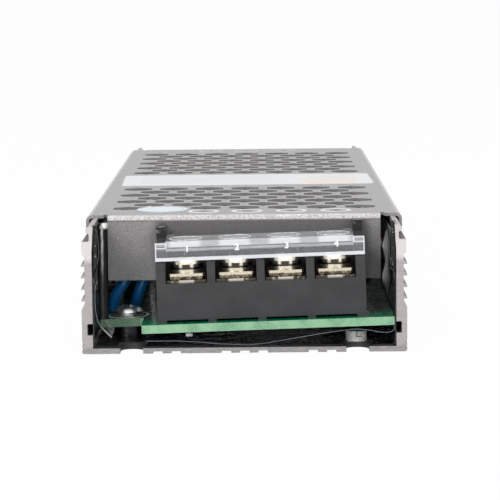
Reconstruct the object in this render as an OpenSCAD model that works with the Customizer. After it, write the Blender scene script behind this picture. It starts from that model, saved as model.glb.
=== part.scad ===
// Slim switching power supply: extruded U base, bent mesh cover, screw terminals at both ends.
// +X is to the right seen from the output end, +Y runs to the input end, +Z is up.
// Depths are counted from the output end; z = 0 is the underside of the base.

/* [Case] */
// Width over the fins
case_w = 62; // [58:0.5:70]
// Length of the base
case_l = 194; // [180:1:230]
// Height to the top of the cover
case_h = 25; // [23:0.1:30]

/* [Base extrusion] */
// Thickness of the floor
floor_t = 1.05; // [1:0.05:1.5]
// Thickness of a side wall at its plain blocks
wall_t = 2.05; // [1.8:0.05:2.4]
// Height at which the fins start
fin_z = 10.15; // [9:0.05:11]
// Number of fins on each side
fin_count = 4; // [3:1:5]
// Depth of the gaps between fins
fin_depth = 0.66; // [0.3:0.01:0.9]
// Width of the grooves under the floor
groove_w = 1.8; // [1:0.1:2.4]
// Depth of the grooves under the floor
groove_d = 0.4; // [0.2:0.05:0.6]
// Width of the open mounting slots
slot_w = 4.4; // [4.2:0.1:5.2]
// Depth of the open mounting slots
slot_d = 5.5; // [4.6:0.05:6]
// Distance of the mounting slots from the middle
slot_x = 21.6; // [20:0.1:23]
// Height of the channel inside each wall
channel_h = 2.2; // [1:0.1:3]
// Depth of the channel inside each wall
channel_d = 1.04; // [0.4:0.02:1.1]

/* [Cover] */
// Thickness of the cover sheet
sheet_t = 0.6; // [0.5:0.05:0.8]
// Inner radius of the cover's bends
bend_r = 0.6; // [0.4:0.05:1]
// Distance from each end of the base to the cover
cover_setback = 14; // [13:0.5:18]
// Height of the side flanges
side_flange_h = 3; // [2:0.1:3.1]
// Height of the end flanges
end_flange_h = 12.75; // [10:0.25:14]
// Distance between neighbouring vent holes
vent_pitch = 7.78; // [7.2:0.02:8]
// Width of a vent hole across its flats
vent_w = 6; // [4:0.1:6.2]
// Vent holes in a long row
vent_columns = 7; // [5:1:7]
// Distance of the first and last rows from the cover's ends
vent_margin = 13.75; // [12:0.25:18]

/* [Labels] */
// Length of the rating label
label_w = 56.2; // [40:0.2:56.4]
// Width of the rating label
label_d = 25; // [15:0.5:28]
// Distance of the label's middle from the cover's output end
label_y = 74.8; // [60:0.2:90]
// Turn of the label
label_turn = 1; // [0:0.1:3]
// Diameter of the round sticker
sticker_d = 10.2; // [6:0.1:11]
// Thickness of the label and the sticker
label_t = 0.1; // [0.08:0.01:0.2]

/* [Board] */
// Thickness of the circuit board
board_t = 1.6; // [1:0.1:2]
// Height of the standoff at the tilt line
standoff_h = 2.65; // [2.4:0.05:3]
// Tilt of the board across the case
board_tilt = 1.6; // [0:0.1:1.8]
// Width of the set-back corner of the board
corner_w = 8.5; // [7:0.1:9]
// Depth of the set-back corner of the board
corner_d = 10; // [9:0.1:10.4]
// Shank diameter of the board screws
board_screw_d = 3; // [2.5:0.1:3]

/* [Terminals] */
// Distance between screw terminals
pitch = 9.5; // [9:0.1:10]
// Depth of a terminal block
block_d = 11.5; // [11:0.1:12]
// Height of the closed lower part of a terminal block
block_h = 7.5; // [7:0.1:8]
// Thickness of the walls between terminals
partition_t = 1.55; // [1:0.05:1.7]
// Thickness of the terminal plates
plate_t = 0.8; // [0.5:0.05:1]
// Thickness of the square washers
washer_t = 1.2; // [0.8:0.05:1.3]
// Thickness of the spring washers
spring_t = 0.8; // [0.5:0.05:0.9]
// Shank diameter of the terminal screws
screw_d = 3.5; // [3:0.1:4]
// Head diameter of the terminal screws
head_d = 6.4; // [5.4:0.1:6.8]
// Head height of the terminal screws
head_h = 2.2; // [1.8:0.1:2.4]
// Height to which a terminal screw backs out
screw_travel = 2.1; // [1.5:0.1:2.4]
// Thickness of the lid's plate
lid_t = 1; // [0.8:0.05:1.2]
// Diameter of the screwdriver holes in the lid
driver_d = 6.1; // [6.1:0.05:6.6]
// Diameter of the lid's hinge pins
hinge_pin_d = 1.6; // [1.2:0.1:1.8]

/* [Insides] */
// Width, depth and height of the transformer's core
core_size = [42, 30, 12]; // [10:1:45]
// Width, depth and height of the boost inductor's core
boost_core_size = [30, 24, 12]; // [10:1:32]
// Outer diameter of the output inductor
toroid_d = 20; // [16:1:22]
// Diameter of the output capacitors
output_cap_d = 8; // [6:0.5:8.5]
// Diameter of the bulk capacitors
bulk_d = 15.2; // [12:0.2:15.6]
// Width, depth and height of the film capacitor
filter_cap_size = [18, 8, 14]; // [5:1:20]
// Length of each heat bracket
bracket_l = 26; // [24:1:28]

/* [Hidden] */
output_ways = 4;
input_ways = 3;
$fn = 48;
eps = 0.01;
cut = 1;
fit = 0.05;
gap = 0.3;

// Case
half_w = case_w / 2;
front_y = -case_l / 2;
wall_x = half_w - wall_t;
cover_l = case_l - 2 * cover_setback;
cover_in_z = case_h - sheet_t;
bend_out = bend_r + sheet_t;
flange_w = 2 * (wall_x - 2.25);
relief_w = 0.8;
head_lean = 0.3;
neck_t = 0.6;
neck_x = wall_x - head_lean / 2 + neck_t;
nose_reach = 0.6;
nose_w = 0.6;
nose_z = cover_in_z - 1.15;
ledge_z = cover_in_z - 2.8;
block_z = ledge_z - 2.7;
block_x = half_w - 0.16;
notch_depth = 0.4;
notch_half = 0.25;
notch_pitch = 0.95;
channel_z = 3.6;
plain_z = fin_z - 1.65;
fin_pitch = (block_z - fin_z) / (fin_count - 0.05);
fin_tip = fin_pitch * 0.14;
fin_flank = fin_pitch * 0.2;
fin_root = half_w - fin_depth;
groove_xs = [0, 3.5, 13.1, 16.6];

// Liner and film
liner_t = 0.2;
liner_x = wall_x - liner_t / 2 - 0.02;
liner_top = cover_in_z - 1;
liner_bow = 1.2;
liner_inset = 1;
film_t = 0.12;
film_inset = 0.3;
film_drawn_x = 28.95;

// Board
board_left = 0.85 - wall_x;
board_right = wall_x - 0.32;
board_z = floor_t + standoff_h;
board_rise = (board_right - board_left) * sin(board_tilt);
board_hole_d = board_screw_d + 0.3;
board_screw_y = corner_d + 4.6;
board_head_d = 6;
board_head_h = 2.1;
board_shank_l = 1.7;
pivot_x = board_left + 5.2;
standoff_r = 2.5;
spigot_r = 1.6;
spigot_depth = floor_t - 0.2;
post_r = 2.05;
post_top = floor_t + 2;
post_slit = 0.2;

// Terminals: x from the middle of the block, y from the end of the board, z from the top of the board
pocket_w = pitch - partition_t;
end_wall_t = 1.775;
function block_w(ways) = (ways - 1) * pitch + 2 * end_wall_t + pocket_w;
function screw_x(ways, i) = (i - (ways - 1) / 2) * pitch;
foot_h = 0.5;
foot_flare = 0.5;
side_room = board_right - pivot_x - board_head_d / 2 - block_w(output_ways) - foot_flare;
output_x = pivot_x + board_head_d / 2 + 0.42 * side_room + block_w(output_ways) / 2;
input_x = 0;
face_y = cover_setback - block_d - 0.5;
pocket_back = face_y + block_d - 2.3;
screw_y = (face_y + pocket_back) / 2 + 0.6;
pin_y = pocket_back + 0.9;
pin_w = 1.2;
pin_tail = 0.5;
pin_hole_d = pin_w * 1.5;
plate_z = block_h + 0.5;
plate_room = 0.25;
washer_w = pocket_w - 0.95;
washer_z = plate_z;
spring_z = washer_z + washer_t;
head_z = spring_z + spring_t;
screw_end_z = 1.6;
well_r = screw_d / 2 + 0.4;
lid_z = head_z + head_h + screw_travel + 0.2;
partition_top = lid_z - gap;
lip_t = 1.2;
lip_bottom = block_h + 4.4;
lip_top = lid_z + lid_t + 0.15;
tab_top = lip_top - 0.25;
post_d = 3.2;
post_back = face_y + block_d + 0.1;
hinge_y = face_y + block_d - 1.5;
hinge_z = lid_z + 0.2;
hinge_pin_l = end_wall_t - 0.5;
post_h = hinge_z + 2.9;
knuckle_r = 1.25;
knuckle_w = 1.5;
collar_t = 0.15;
collar_h = 0.1;

// Insides: x from the middle of the case, depth from the output end, z from the top of the board.
// They stand in zones along the case, with equal aisles between the zones.
inside_h = cover_in_z - board_z - board_t - board_rise - 1.5;
core_limb = 3.6;
core_yoke = 6;
core_z = 2;
winding_room = 0.4;
center_limb = 10;
boost_yoke = 4.5;
boost_limb = 8;
cap_gap = 0.7;
output_cap_h = inside_h * 0.8;
bulk_h = inside_h - 0.5;
choke_size = [18, 14, 5];
choke_window = [11, 7];
bridge_size = [15, 3.6, 11];
disc_d = 11;
disc_t = 3.8;
safety_d = 8;
safety_t = 2.8;
fuse_d = 5.2;
fuse_l = 20;
bracket_t = 1.5;
bracket_h = inside_h - 1;
package_size = [4.4, 10, bracket_h - 0.6];
package_z = 0.6;
package_step = bracket_l / 2;
clip_w = 4;
clip_t = 0.5;
control_size = [1, bracket_l, 10.5];
opto_size = [4.6, 6.4, 3.4];

choke_depth = choke_size[1] + 3.2;
zones = [
    2 * output_cap_d + cap_gap, bracket_l, core_size[1], max(bracket_l, boost_core_size[1]),
    filter_cap_size[1], bulk_d, choke_depth
];
inside_start = cover_setback + sheet_t;
function total(v, n) = n == 0 ? 0 : v[n - 1] + total(v, n - 1);
aisle = (case_l - 2 * inside_start - total(zones, len(zones))) / (len(zones) + 1);
function zone_start(i) = inside_start + aisle * (i + 1) + total(zones, i);
function zone_middle(i) = zone_start(i) + zones[i] / 2;

transformer_at = [1, zone_middle(2)];
boost_at = [-5, zone_middle(3)];
toroid_at = [0.28 * wall_x, zone_middle(1)];
filter_at = [-0.48 * wall_x, zone_middle(4)];
bridge_at = [0.48 * wall_x, zone_middle(4)];
choke_at = [-0.52 * wall_x, zone_middle(6)];
control_at = [-0.59 * wall_x, zone_middle(1)];
safety_x = boost_at[0] - boost_core_size[0] / 2 - safety_t - 0.6;
opto_x = transformer_at[0] - (core_size[0] + opto_size[0]) / 2 - 0.6;
left_bracket = [-wall_x + 3.75, zone_start(1)];
right_bracket = [wall_x - 3.35, zone_start(3)];
disc_y = zone_start(6) + disc_t / 2;
fuse_at = [0, zone_start(6) + choke_depth - fuse_d / 2];
right_screw_x = wall_x - 5.35;
screw_spots = [
    [pivot_x, board_screw_y],
    [pivot_x, case_l - board_screw_y],
    [right_screw_x, zone_middle(1)],
    [right_screw_x, zone_middle(6)]
];

// Routes of the two blue leads, as x, depth and height. Past the bend they are drawn for a winding
// that starts at the drawn depth, and stretch to where it really starts.
wire_r = 1.15;
bend_depth = 25;
drawn_depth = 73.1;
cheek_front = zone_middle(2) - core_size[1] / 2 + core_yoke + winding_room / 2;
wire_stretch = (cheek_front - bend_depth) / (drawn_depth - bend_depth);
function led(p) = [for (q = p) [q[0], q[1] + max(0, q[1] - bend_depth) * (wire_stretch - 1), q[2]]];
wire_1 = [
    [-26, 19, 5.4], [-26, 18.6, 6.8], [-25.6, 18, 8.4], [-24.6, 17.4, 10.3], [-23.4, 17, 12.2],
    [-22, 17.4, 14.6], [-20.6, 18.8, 16.8], [-19.4, 21.5, 18.4], [-18.6, 25.5, 19.4], [-18, 31, 20],
    [-17.2, 37, 20.4], [-16.2, 43, 20.6], [-15.2, 49, 20.6], [-14.4, 55, 20.6], [-13.8, 61, 20.7],
    [-13.6, 66, 21], [-13.6, 70, 21.1], [-13.6, 73, 21.1]
];
wire_2 = [
    [-21.6, 19.5, 5.5], [-21.6, 19.2, 6.8], [-21.3, 18.6, 8.4], [-20.7, 18, 10.2], [-19.8, 17.6, 12.2],
    [-18.8, 18.2, 14.4], [-17.6, 19.8, 16.4], [-16.4, 22.8, 17.8], [-15.5, 27, 18.8], [-14.8, 32, 19.5],
    [-13.8, 38, 20], [-12.6, 44, 20.3], [-11.4, 50, 20.5], [-10.6, 56, 20.6], [-10.2, 61, 20.8],
    [-10.2, 66, 21], [-10.2, 70, 21.1], [-10.2, 73, 21.1]
];

module from_front() translate([0, front_y, 0]) children();

// Tilts its children with the board; z = 0 becomes the underside of the board
module tilted() {
    translate([pivot_x, front_y, board_z])
        rotate([0, -board_tilt, 0])
            translate([-pivot_x, 0, 0]) children();
}

// Places its children on the top face of the board
module on_board() tilted() translate([0, 0, board_t]) children();

module at_output() on_board() translate([output_x, 0, 0]) children();

module at_input() {
    on_board() translate([input_x, case_l, 0]) rotate([0, 0, 180]) children();
}

// Box centred in x and y on a spot, standing on z
module block_on(spot, size, z = 0) {
    translate([spot[0] - size[0] / 2, spot[1] - size[1] / 2, z]) cube(size);
}

// Box between two corners
module span(low, high) translate(low) cube(high - low);

module rounded_plate(size, r) {
    linear_extrude(size[2]) {
        difference() {
            square([size[0], size[1]], center = true);
            for (sx = [-1, 1], sy = [-1, 1])
                translate([sx * (size[0] / 2 - r), sy * (size[1] / 2 - r)])
                    difference() {
                        translate([sx * r / 2 + sx * eps / 2, sy * r / 2 + sy * eps / 2])
                            square(r + eps, center = true);
                        circle(r);
                    }
        }
    }
}

// Extrudes an x-z outline from one depth to another
module along_y(y0, y1) {
    translate([0, y1, 0]) rotate([90, 0, 0]) linear_extrude(y1 - y0) children();
}

// Outline of a thin sheet: points moved half a thickness to each side
function unit(v) = v / norm(v);
function side(v) = [-v[1], v[0]];
function sheet_normal(p, i) =
    side(unit(p[min(i + 1, len(p) - 1)] - p[max(i - 1, 0)]));
function sheet_outline(p, t) = concat(
    [for (i = [0 : len(p) - 1]) p[i] + sheet_normal(p, i) * t / 2],
    [for (i = [len(p) - 1 : -1 : 0]) p[i] - sheet_normal(p, i) * t / 2]
);

// Phillips recess cut down from z = 0
module cross_recess(width, depth) {
    arm = width * 0.28;
    for (turn = [0, 90])
        rotate(turn) translate([-width / 2, -arm / 2, -depth]) cube([width, arm, depth + cut]);
}

// ---- Case ----

function fin_points(z, root, tip) = [
    [root, z - eps], [tip, z - eps], [tip, z + fin_tip], [root, z + fin_tip + fin_flank]
];

wall_side = concat(
    [
        [half_w - 0.3, 0], [half_w, 0.3],
        [half_w, notch_pitch - notch_half], [half_w - notch_depth, notch_pitch],
        [half_w, notch_pitch + notch_half], [half_w, 2 * notch_pitch - notch_half],
        [half_w - notch_depth, 2 * notch_pitch], [half_w, 2 * notch_pitch + notch_half],
        [half_w, plain_z], [fin_root, fin_z - 0.3]
    ],
    [for (i = [0 : fin_count - 1], p = fin_points(fin_z + i * fin_pitch, fin_root, half_w)) p],
    [
        [fin_root, block_z - 0.2], [block_x, block_z + 0.15], [block_x, ledge_z - 0.15],
        [block_x - 0.15, ledge_z], [neck_x + 0.25, ledge_z], [neck_x, ledge_z + 0.25],
        [neck_x, nose_z - 0.3], [neck_x + nose_reach, nose_z], [neck_x + nose_reach, nose_z + nose_w],
        [neck_x + 0.1, cover_in_z], [wall_x - head_lean, cover_in_z],
        [wall_x - head_lean / 2, ledge_z], [wall_x, ledge_z - 2],
        [wall_x, channel_z + channel_h], [wall_x + channel_d - 0.2, channel_z + channel_h],
        [wall_x + channel_d, channel_z + channel_h - 0.2], [wall_x + channel_d, channel_z + 0.2],
        [wall_x + channel_d - 0.2, channel_z], [wall_x, channel_z], [wall_x, floor_t]
    ]
);
function mirrored(p) = [for (i = [len(p) - 1 : -1 : 0]) [-p[i][0], p[i][1]]];

module mounting_slot() {
    translate([0, -cut, -cut]) {
        translate([-slot_w / 2, 0, 0]) cube([slot_w, slot_d - slot_w / 2 + cut, floor_t + 2 * cut]);
        translate([0, slot_d - slot_w / 2 + cut, 0]) cylinder(d = slot_w, h = floor_t + 2 * cut);
    }
}

// Cuts repeated at all four mounting slots
module at_slots() {
    for (x = [-slot_x, slot_x]) {
        translate([x, 0, 0]) children();
        translate([x, case_l, 0]) mirror([0, 1, 0]) children();
    }
}

module base_extrusion() color([0.74, 0.73, 0.73]) from_front() difference() {
    along_y(0, case_l) difference() {
        polygon(concat(wall_side, mirrored(wall_side)));
        for (x = groove_xs, s = [-1, 1])
            translate([s * x - groove_w / 2, -cut]) square([groove_w, groove_d + cut]);
    }
    at_slots() mounting_slot();
    for (p = screw_spots) translate([p[0], p[1], -cut]) cylinder(r = spigot_r + fit, h = floor_t + 2 * cut);
}

// Quarter bend and flat flange in one outline: the plate's top is at y = 0, the flange goes down at x = 0
module bent_edge(flange_h, plate_l) {
    translate([bend_out, -bend_out]) difference() {
        circle(bend_out);
        circle(bend_r);
        translate([0, -2 * bend_out]) square(4 * bend_out);
        translate([-2 * bend_out, -4 * bend_out]) square(4 * bend_out);
    }
    translate([0, -flange_h]) square([sheet_t, flange_h - bend_out + eps]);
    translate([bend_out - eps, -sheet_t]) square([plate_l, sheet_t]);
}

row_step = vent_pitch * sqrt(3) / 2;
vent_rows = floor((cover_l - 2 * vent_margin) / row_step) + 1;
label_keep = label_d / 2 + vent_w / 2;
function row_y(row) = vent_margin + row * row_step;
function row_columns(row) = vent_columns - row % 2;

module vent_holes() {
    for (row = [0 : vent_rows - 1])
        if (abs(row_y(row) - label_y) > label_keep)
            for (i = [0 : row_columns(row) - 1])
                translate([(i - (row_columns(row) - 1) / 2) * vent_pitch, row_y(row), -cut])
                    rotate(30) cylinder(d = vent_w / cos(30), h = sheet_t + 2 * cut, $fn = 6);
}

module top_cover() color([0.52, 0.51, 0.5]) translate([0, front_y + cover_setback, case_h]) {
    ends = flange_w / 2;
    difference() {
        union() {
            for (s = [0, 1]) mirror([s, 0, 0])
                along_y(bend_out, cover_l - bend_out)
                    translate([-half_w, 0]) bent_edge(side_flange_h, half_w);
            for (s = [0, 1]) translate([0, s * cover_l, 0]) mirror([0, s, 0])
                translate([-ends, 0, 0]) rotate([90, 0, 90])
                    linear_extrude(flange_w) bent_edge(end_flange_h, 2 * bend_out);
        }
        translate([0, 0, -sheet_t]) vent_holes();
        for (sx = [-1, 1], y = [0, cover_l])
            translate([sx * (ends + relief_w / 2), y, 0])
                cube([relief_w, 4 * bend_out, 4 * bend_out], center = true);
    }
}

module rating_label() color([0.93, 0.93, 0.94])
    translate([0.4, front_y + cover_setback + label_y, case_h]) rotate(label_turn)
        rounded_plate([label_w, label_d, label_t], 0.8);

module round_sticker() color([0.87, 0.92, 0.96])
    translate([-16.35, front_y + cover_setback + sticker_d / 2 + 5.8, case_h])
        cylinder(d = sticker_d, h = label_t);

// ---- Liner and film ----

liner_side = [
    [liner_x - 0.5, floor_t + liner_t / 2], [liner_x - 0.15, floor_t + 0.3],
    [liner_x, floor_t + 0.8], [liner_x, board_z + 3], [liner_x, liner_top - 9],
    [liner_x - liner_bow / 2, liner_top - 7.4], [liner_x - liner_bow, liner_top - 4.9],
    [liner_x - liner_bow, liner_top - 2.9], [liner_x - liner_bow * 0.9, liner_top - 1.4],
    [liner_x - liner_bow * 0.75, liner_top]
];

// Room left in the liner and the film round the slots, standoffs and posts
module floor_clearance() {
    at_slots() span([-slot_w / 2 - 0.6, -cut, 0], [slot_w / 2 + 0.6, slot_d + 0.6, post_top]);
    for (p = screw_spots) translate([p[0], p[1], 0]) cylinder(r = standoff_r + 0.5, h = case_h / 2);
    at_posts() cylinder(r = post_r + 0.3, h = post_top + 0.2);
}

module insulation_liner() color([0.06, 0.06, 0.06]) from_front() difference() {
    along_y(liner_inset, case_l - liner_inset)
        polygon(sheet_outline(concat(mirrored(liner_side), liner_side), liner_t));
    floor_clearance();
}

// The film's outlines are drawn for one width of case, from the floor up, and follow the real width
function film_points(p) = [for (q = p) [q[0] * wall_x / film_drawn_x, q[1] + floor_t]];
film_floor = film_points([
    [-19, 1.3], [-13, 1.3], [-8.7, 1.08], [-4.5, 0.65], [1, 0.4], [4.6, 0.8], [7.9, 1.38],
    [11.3, 1.93], [15.5, 2.62], [18.8, 3.05], [21.4, 3.3], [23.9, 3.05], [25.4, 2.74],
    [27, 2.55], [28, 2.7], [28.5, 3.1], [28.56, 3.85]
]);
film_wing = film_points([
    [-27.8, 13], [-28.3, 12.2], [-28.45, 9.4], [-28.35, 7.1], [-28, 5.4], [-27.4, 4.2],
    [-26.4, 3.1], [-25.4, 2.1]
]);
film_side = film_points([
    [-19, 1.3], [-24, 1.2], [-27.2, 1.32], [-28.2, 2], [-28.45, 3.2], [-28.45, 12.2]
]);
film_bridge = film_points([[-28.45, 7.4], [-28.45, 12.1]]);

module clear_film() color([0.8, 0.85, 0.88]) from_front() difference() {
    side_start = 2 * corner_d - 2;
    union() {
        along_y(film_inset, case_l - film_inset) polygon(sheet_outline(film_floor, film_t));
        along_y(film_inset, corner_d - 0.4) polygon(sheet_outline(film_wing, film_t));
        along_y(side_start, case_l - side_start) polygon(sheet_outline(film_side, film_t));
        along_y(corner_d - 0.5, side_start + 1) polygon(sheet_outline(film_bridge, film_t));
    }
    floor_clearance();
}

// ---- Board and its fixings ----

module main_board() color([0.05, 0.3, 0.2]) tilted() difference() {
    linear_extrude(board_t) difference() {
        translate([board_left, 0]) square([board_right - board_left, case_l]);
        translate([board_left - cut, -cut]) square([corner_w + cut, corner_d + cut]);
        translate([board_left - cut, case_l - corner_d]) square([corner_w + cut, corner_d + cut]);
    }
    for (p = screw_spots)
        translate([p[0], p[1], -cut]) cylinder(d = board_hole_d, h = board_t + 2 * cut);
    for (i = [0 : output_ways - 1])
        translate([output_x + screw_x(output_ways, i), pin_y, -cut])
            cylinder(d = pin_hole_d, h = board_t + 2 * cut);
    for (i = [0 : input_ways - 1])
        translate([input_x + screw_x(input_ways, i), case_l - pin_y, -cut])
            cylinder(d = pin_hole_d, h = board_t + 2 * cut);
}

module board_standoffs() color([0.16, 0.16, 0.17]) difference() {
    from_front() for (p = screw_spots) translate([p[0], p[1], floor_t]) {
        translate([0, 0, -spigot_depth]) cylinder(r = spigot_r, h = spigot_depth + eps);
        cylinder(r = standoff_r, h = case_h / 2);
    }
    tilted() span([-case_w, -cut, 0], [case_w, case_l + cut, case_h]);
    tilted() for (p = screw_spots)
        translate([p[0], p[1], -board_shank_l - gap])
            cylinder(d = board_screw_d + 2 * fit, h = board_shank_l + gap + cut);
}

// One post behind the right slot at each end, turned half round at the far end
module at_posts() {
    translate([slot_x, slot_d + post_r, 0]) children();
    translate([-slot_x, case_l - slot_d - post_r, 0]) rotate(180) children();
}

module floor_posts() color([0.8, 0.8, 0.79]) from_front() at_posts() difference() {
    translate([0, 0, floor_t]) cylinder(r = post_r, h = post_top - floor_t);
    mid_z = (floor_t + post_top) / 2;
    slit_y = post_r - 0.7;
    span([-post_slit / 2, -post_r - cut, mid_z], [post_slit / 2, -slit_y, post_top + cut]);
    span([-post_slit / 2, -post_r - cut, mid_z - post_slit / 2],
         [post_r + cut, -slit_y, mid_z + post_slit / 2]);
}

// Pan head with a crowned top and a cross recess, standing on z = 0
module pan_head(d, h) {
    crown = h * 0.6;
    r = d / 2;
    ball = (r * r + crown * crown) / (2 * crown);
    difference() {
        intersection() {
            cylinder(r = r, h = h);
            translate([0, 0, h - ball]) sphere(ball);
        }
        translate([0, 0, h]) cross_recess(d * 0.56, h * 0.62);
    }
}

module board_screws() color([0.75, 0.75, 0.74]) on_board()
    for (p = screw_spots) translate([p[0], p[1], 0]) {
        pan_head(board_head_d, board_head_h);
        translate([0, 0, -board_t - board_shank_l])
            cylinder(d = board_screw_d, h = board_t + board_shank_l + eps);
    }

// ---- Terminal blocks ----

// Wall between or beside terminals, low behind the lid's lip and higher further back
module terminal_wall(x, t, top, back) {
    span([x - t / 2, face_y, block_h - eps], [x + t / 2, pocket_back, lip_bottom - gap]);
    span([x - t / 2, face_y + lip_t + gap, block_h], [x + t / 2, back, top]);
}

module terminal_block(ways) {
    w = block_w(ways);
    back = face_y + block_d;
    difference() {
        union() {
            span([-w / 2, face_y, foot_h], [w / 2, back, block_h]);
            for (s = [-1, 1]) {
                x = s * (w - end_wall_t) / 2;
                terminal_wall(x, end_wall_t, partition_top - 0.4, back);
                span([x - end_wall_t / 2, post_back - post_d, block_h],
                     [x + end_wall_t / 2, post_back, post_h]);
            }
            for (i = [1 : ways - 1])
                terminal_wall((i - ways / 2) * pitch, partition_t, partition_top,
                    hinge_y - knuckle_r - gap);
            span([-w / 2, pocket_back, block_h - eps], [w / 2, back, hinge_z - knuckle_r - 0.5]);
            for (i = [0 : ways]) {
                x = (i - ways / 2) * pitch;
                span([x - partition_t / 2, face_y, 0], [x + partition_t / 2, back, foot_h + eps]);
            }
            span([w / 2 - end_wall_t, face_y, 0], [w / 2 + foot_flare, face_y + block_d / 3, 2 * foot_h]);
        }
        for (i = [0 : ways - 1]) translate([screw_x(ways, i), 0, 0]) {
            span([-pocket_w / 2 + plate_room - fit, face_y + 0.95 - fit, plate_z - plate_t],
                 [pocket_w / 2 - plate_room + fit, pocket_back - plate_room + fit, plate_z]);
            translate([0, screw_y, screw_end_z - 0.4]) cylinder(r = well_r, h = block_h);
            span([-pin_w / 2 - fit, pocket_back - 0.3, plate_z - plate_t],
                 [pin_w / 2 + fit, pin_y + plate_t / 2 + fit, plate_z]);
            span([-pin_w / 2 - fit, pin_y - plate_t / 2 - fit, -cut],
                 [pin_w / 2 + fit, pin_y + plate_t / 2 + fit, plate_z]);
        }
        for (s = [-1, 1])
            translate([s * (w / 2 - end_wall_t), hinge_y, hinge_z]) rotate([0, s * 90, 0])
                translate([0, 0, -cut]) cylinder(d = hinge_pin_d + 2 * fit, h = end_wall_t - gap + cut);
    }
}

module terminal_plates(ways) {
    for (i = [0 : ways - 1]) translate([screw_x(ways, i), 0, 0]) {
        difference() {
            union() {
                span([-pocket_w / 2 + plate_room, face_y + 0.95, plate_z - plate_t],
                     [pocket_w / 2 - plate_room, pocket_back - plate_room, plate_z]);
                translate([0, screw_y, plate_z - 3 * plate_t]) cylinder(r = well_r - fit, h = 3 * plate_t);
            }
            translate([0, screw_y, 0]) cylinder(d = screw_d + 2 * fit, h = plate_z + cut);
        }
        span([-pin_w / 2, pocket_back - plate_room - eps, plate_z - plate_t],
             [pin_w / 2, pin_y + plate_t / 2, plate_z]);
        span([-pin_w / 2, pin_y - plate_t / 2, -board_t - pin_tail],
             [pin_w / 2, pin_y + plate_t / 2, plate_z - plate_t + eps]);
    }
}

module terminal_lid(ways) {
    w = block_w(ways);
    inner = w / 2 - end_wall_t - gap;
    difference() {
        union() {
            span([-inner, face_y, lid_z], [inner, hinge_y + 0.4, lid_z + lid_t]);
            span([-w / 2, face_y, lip_bottom], [w / 2, face_y + lip_t, tab_top]);
            span([-inner, face_y, tab_top - eps], [inner, face_y + lip_t, lip_top]);
            for (i = [0 : ways - 1]) translate([screw_x(ways, i), screw_y, lid_z])
                cylinder(d = driver_d + 2 * collar_t, h = lid_t + collar_h);
            for (s = [-1, 1]) translate([s * inner, hinge_y, hinge_z]) rotate([0, -s * 90, 0]) {
                cylinder(r = knuckle_r, h = knuckle_w);
                translate([0, 0, -gap - hinge_pin_l])
                    cylinder(d = hinge_pin_d, h = gap + hinge_pin_l + eps);
            }
        }
        for (i = [0 : ways - 1]) translate([screw_x(ways, i), screw_y, lid_z - cut])
            cylinder(d = driver_d, h = lid_t + collar_h + 2 * cut);
    }
}

// Square clamping washer with clipped corners and the spring washer above it
module terminal_washer() {
    translate([0, 0, washer_z]) difference() {
        intersection() {
            translate([-washer_w / 2, -washer_w / 2, 0]) cube([washer_w, washer_w, washer_t]);
            cylinder(d = washer_w * 1.34, h = washer_t);
        }
        translate([0, 0, -cut]) cylinder(d = screw_d + 2 * fit, h = washer_t + 2 * cut);
        for (i = [-3 : 3]) translate([i * 1, 0, 0]) rotate([0, 45, 0])
            cube([0.3, washer_w + cut, 0.3], center = true);
    }
    translate([0, 0, spring_z - eps]) difference() {
        cylinder(d = head_d - 0.2, h = spring_t - gap / 3);
        translate([0, 0, -cut]) cylinder(d = screw_d + 2 * fit, h = spring_t + 2 * cut);
        span([0.2, -0.15, -cut], [head_d, 0.15, spring_t + cut]);
    }
}

module terminal_screw() {
    translate([0, 0, head_z]) pan_head(head_d, head_h);
    translate([0, 0, screw_end_z]) cylinder(d = screw_d, h = head_z - screw_end_z + eps);
}

module output_spot(i) at_output() translate([screw_x(output_ways, i), screw_y, 0]) children();
module input_spot(i) at_input() translate([screw_x(input_ways, i), screw_y, 0]) children();

module output_terminal_block() color([0.25, 0.25, 0.26]) at_output() terminal_block(output_ways);
module output_terminal_plates() color([0.8, 0.78, 0.72]) at_output() terminal_plates(output_ways);
module output_lid() color([0.9, 0.93, 0.95]) at_output() terminal_lid(output_ways);
module output_washer(i) color([0.8, 0.77, 0.7]) output_spot(i) terminal_washer();
module output_screw(i) color([0.72, 0.7, 0.66]) output_spot(i) terminal_screw();
module input_terminal_block() color([0.25, 0.25, 0.26]) at_input() terminal_block(input_ways);
module input_terminal_plates() color([0.8, 0.78, 0.72]) at_input() terminal_plates(input_ways);
module input_lid() color([0.9, 0.93, 0.95]) at_input() terminal_lid(input_ways);
module input_washer(i) color([0.8, 0.77, 0.7]) input_spot(i) terminal_washer();
module input_screw(i) color([0.72, 0.7, 0.66]) input_spot(i) terminal_screw();

// ---- Leads ----

function tangent(p, i) = unit(p[min(i + 1, len(p) - 1)] - p[max(i - 1, 0)]);
function ring(p, i, r, sides) =
    let (t = tangent(p, i), a = unit(cross(t, [0.3, -1, 0.2])), b = cross(t, a))
    [for (k = [0 : sides - 1]) p[i] + r * (cos(360 * k / sides) * a + sin(360 * k / sides) * b)];

// Tube along a list of points, closed at both ends
module tube(p, r, sides = 8) {
    n = len(p);
    points = [for (i = [0 : n - 1], q = ring(p, i, r, sides)) q];
    walls = [for (i = [0 : n - 2], k = [0 : sides - 1])
        let (a = i * sides, b = a + sides, m = (k + 1) % sides) [a + k, b + k, b + m, a + m]];
    start = [for (k = [0 : sides - 1]) k];
    finish = [for (k = [sides - 1 : -1 : 0]) (n - 1) * sides + k];
    polyhedron(points, concat(walls, [start, finish]));
}

module blue_wires() color([0.02, 0.25, 0.55]) from_front() {
    tube(led(wire_1), wire_r);
    tube(led(wire_2), wire_r);
}

// ---- Insides ----

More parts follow.
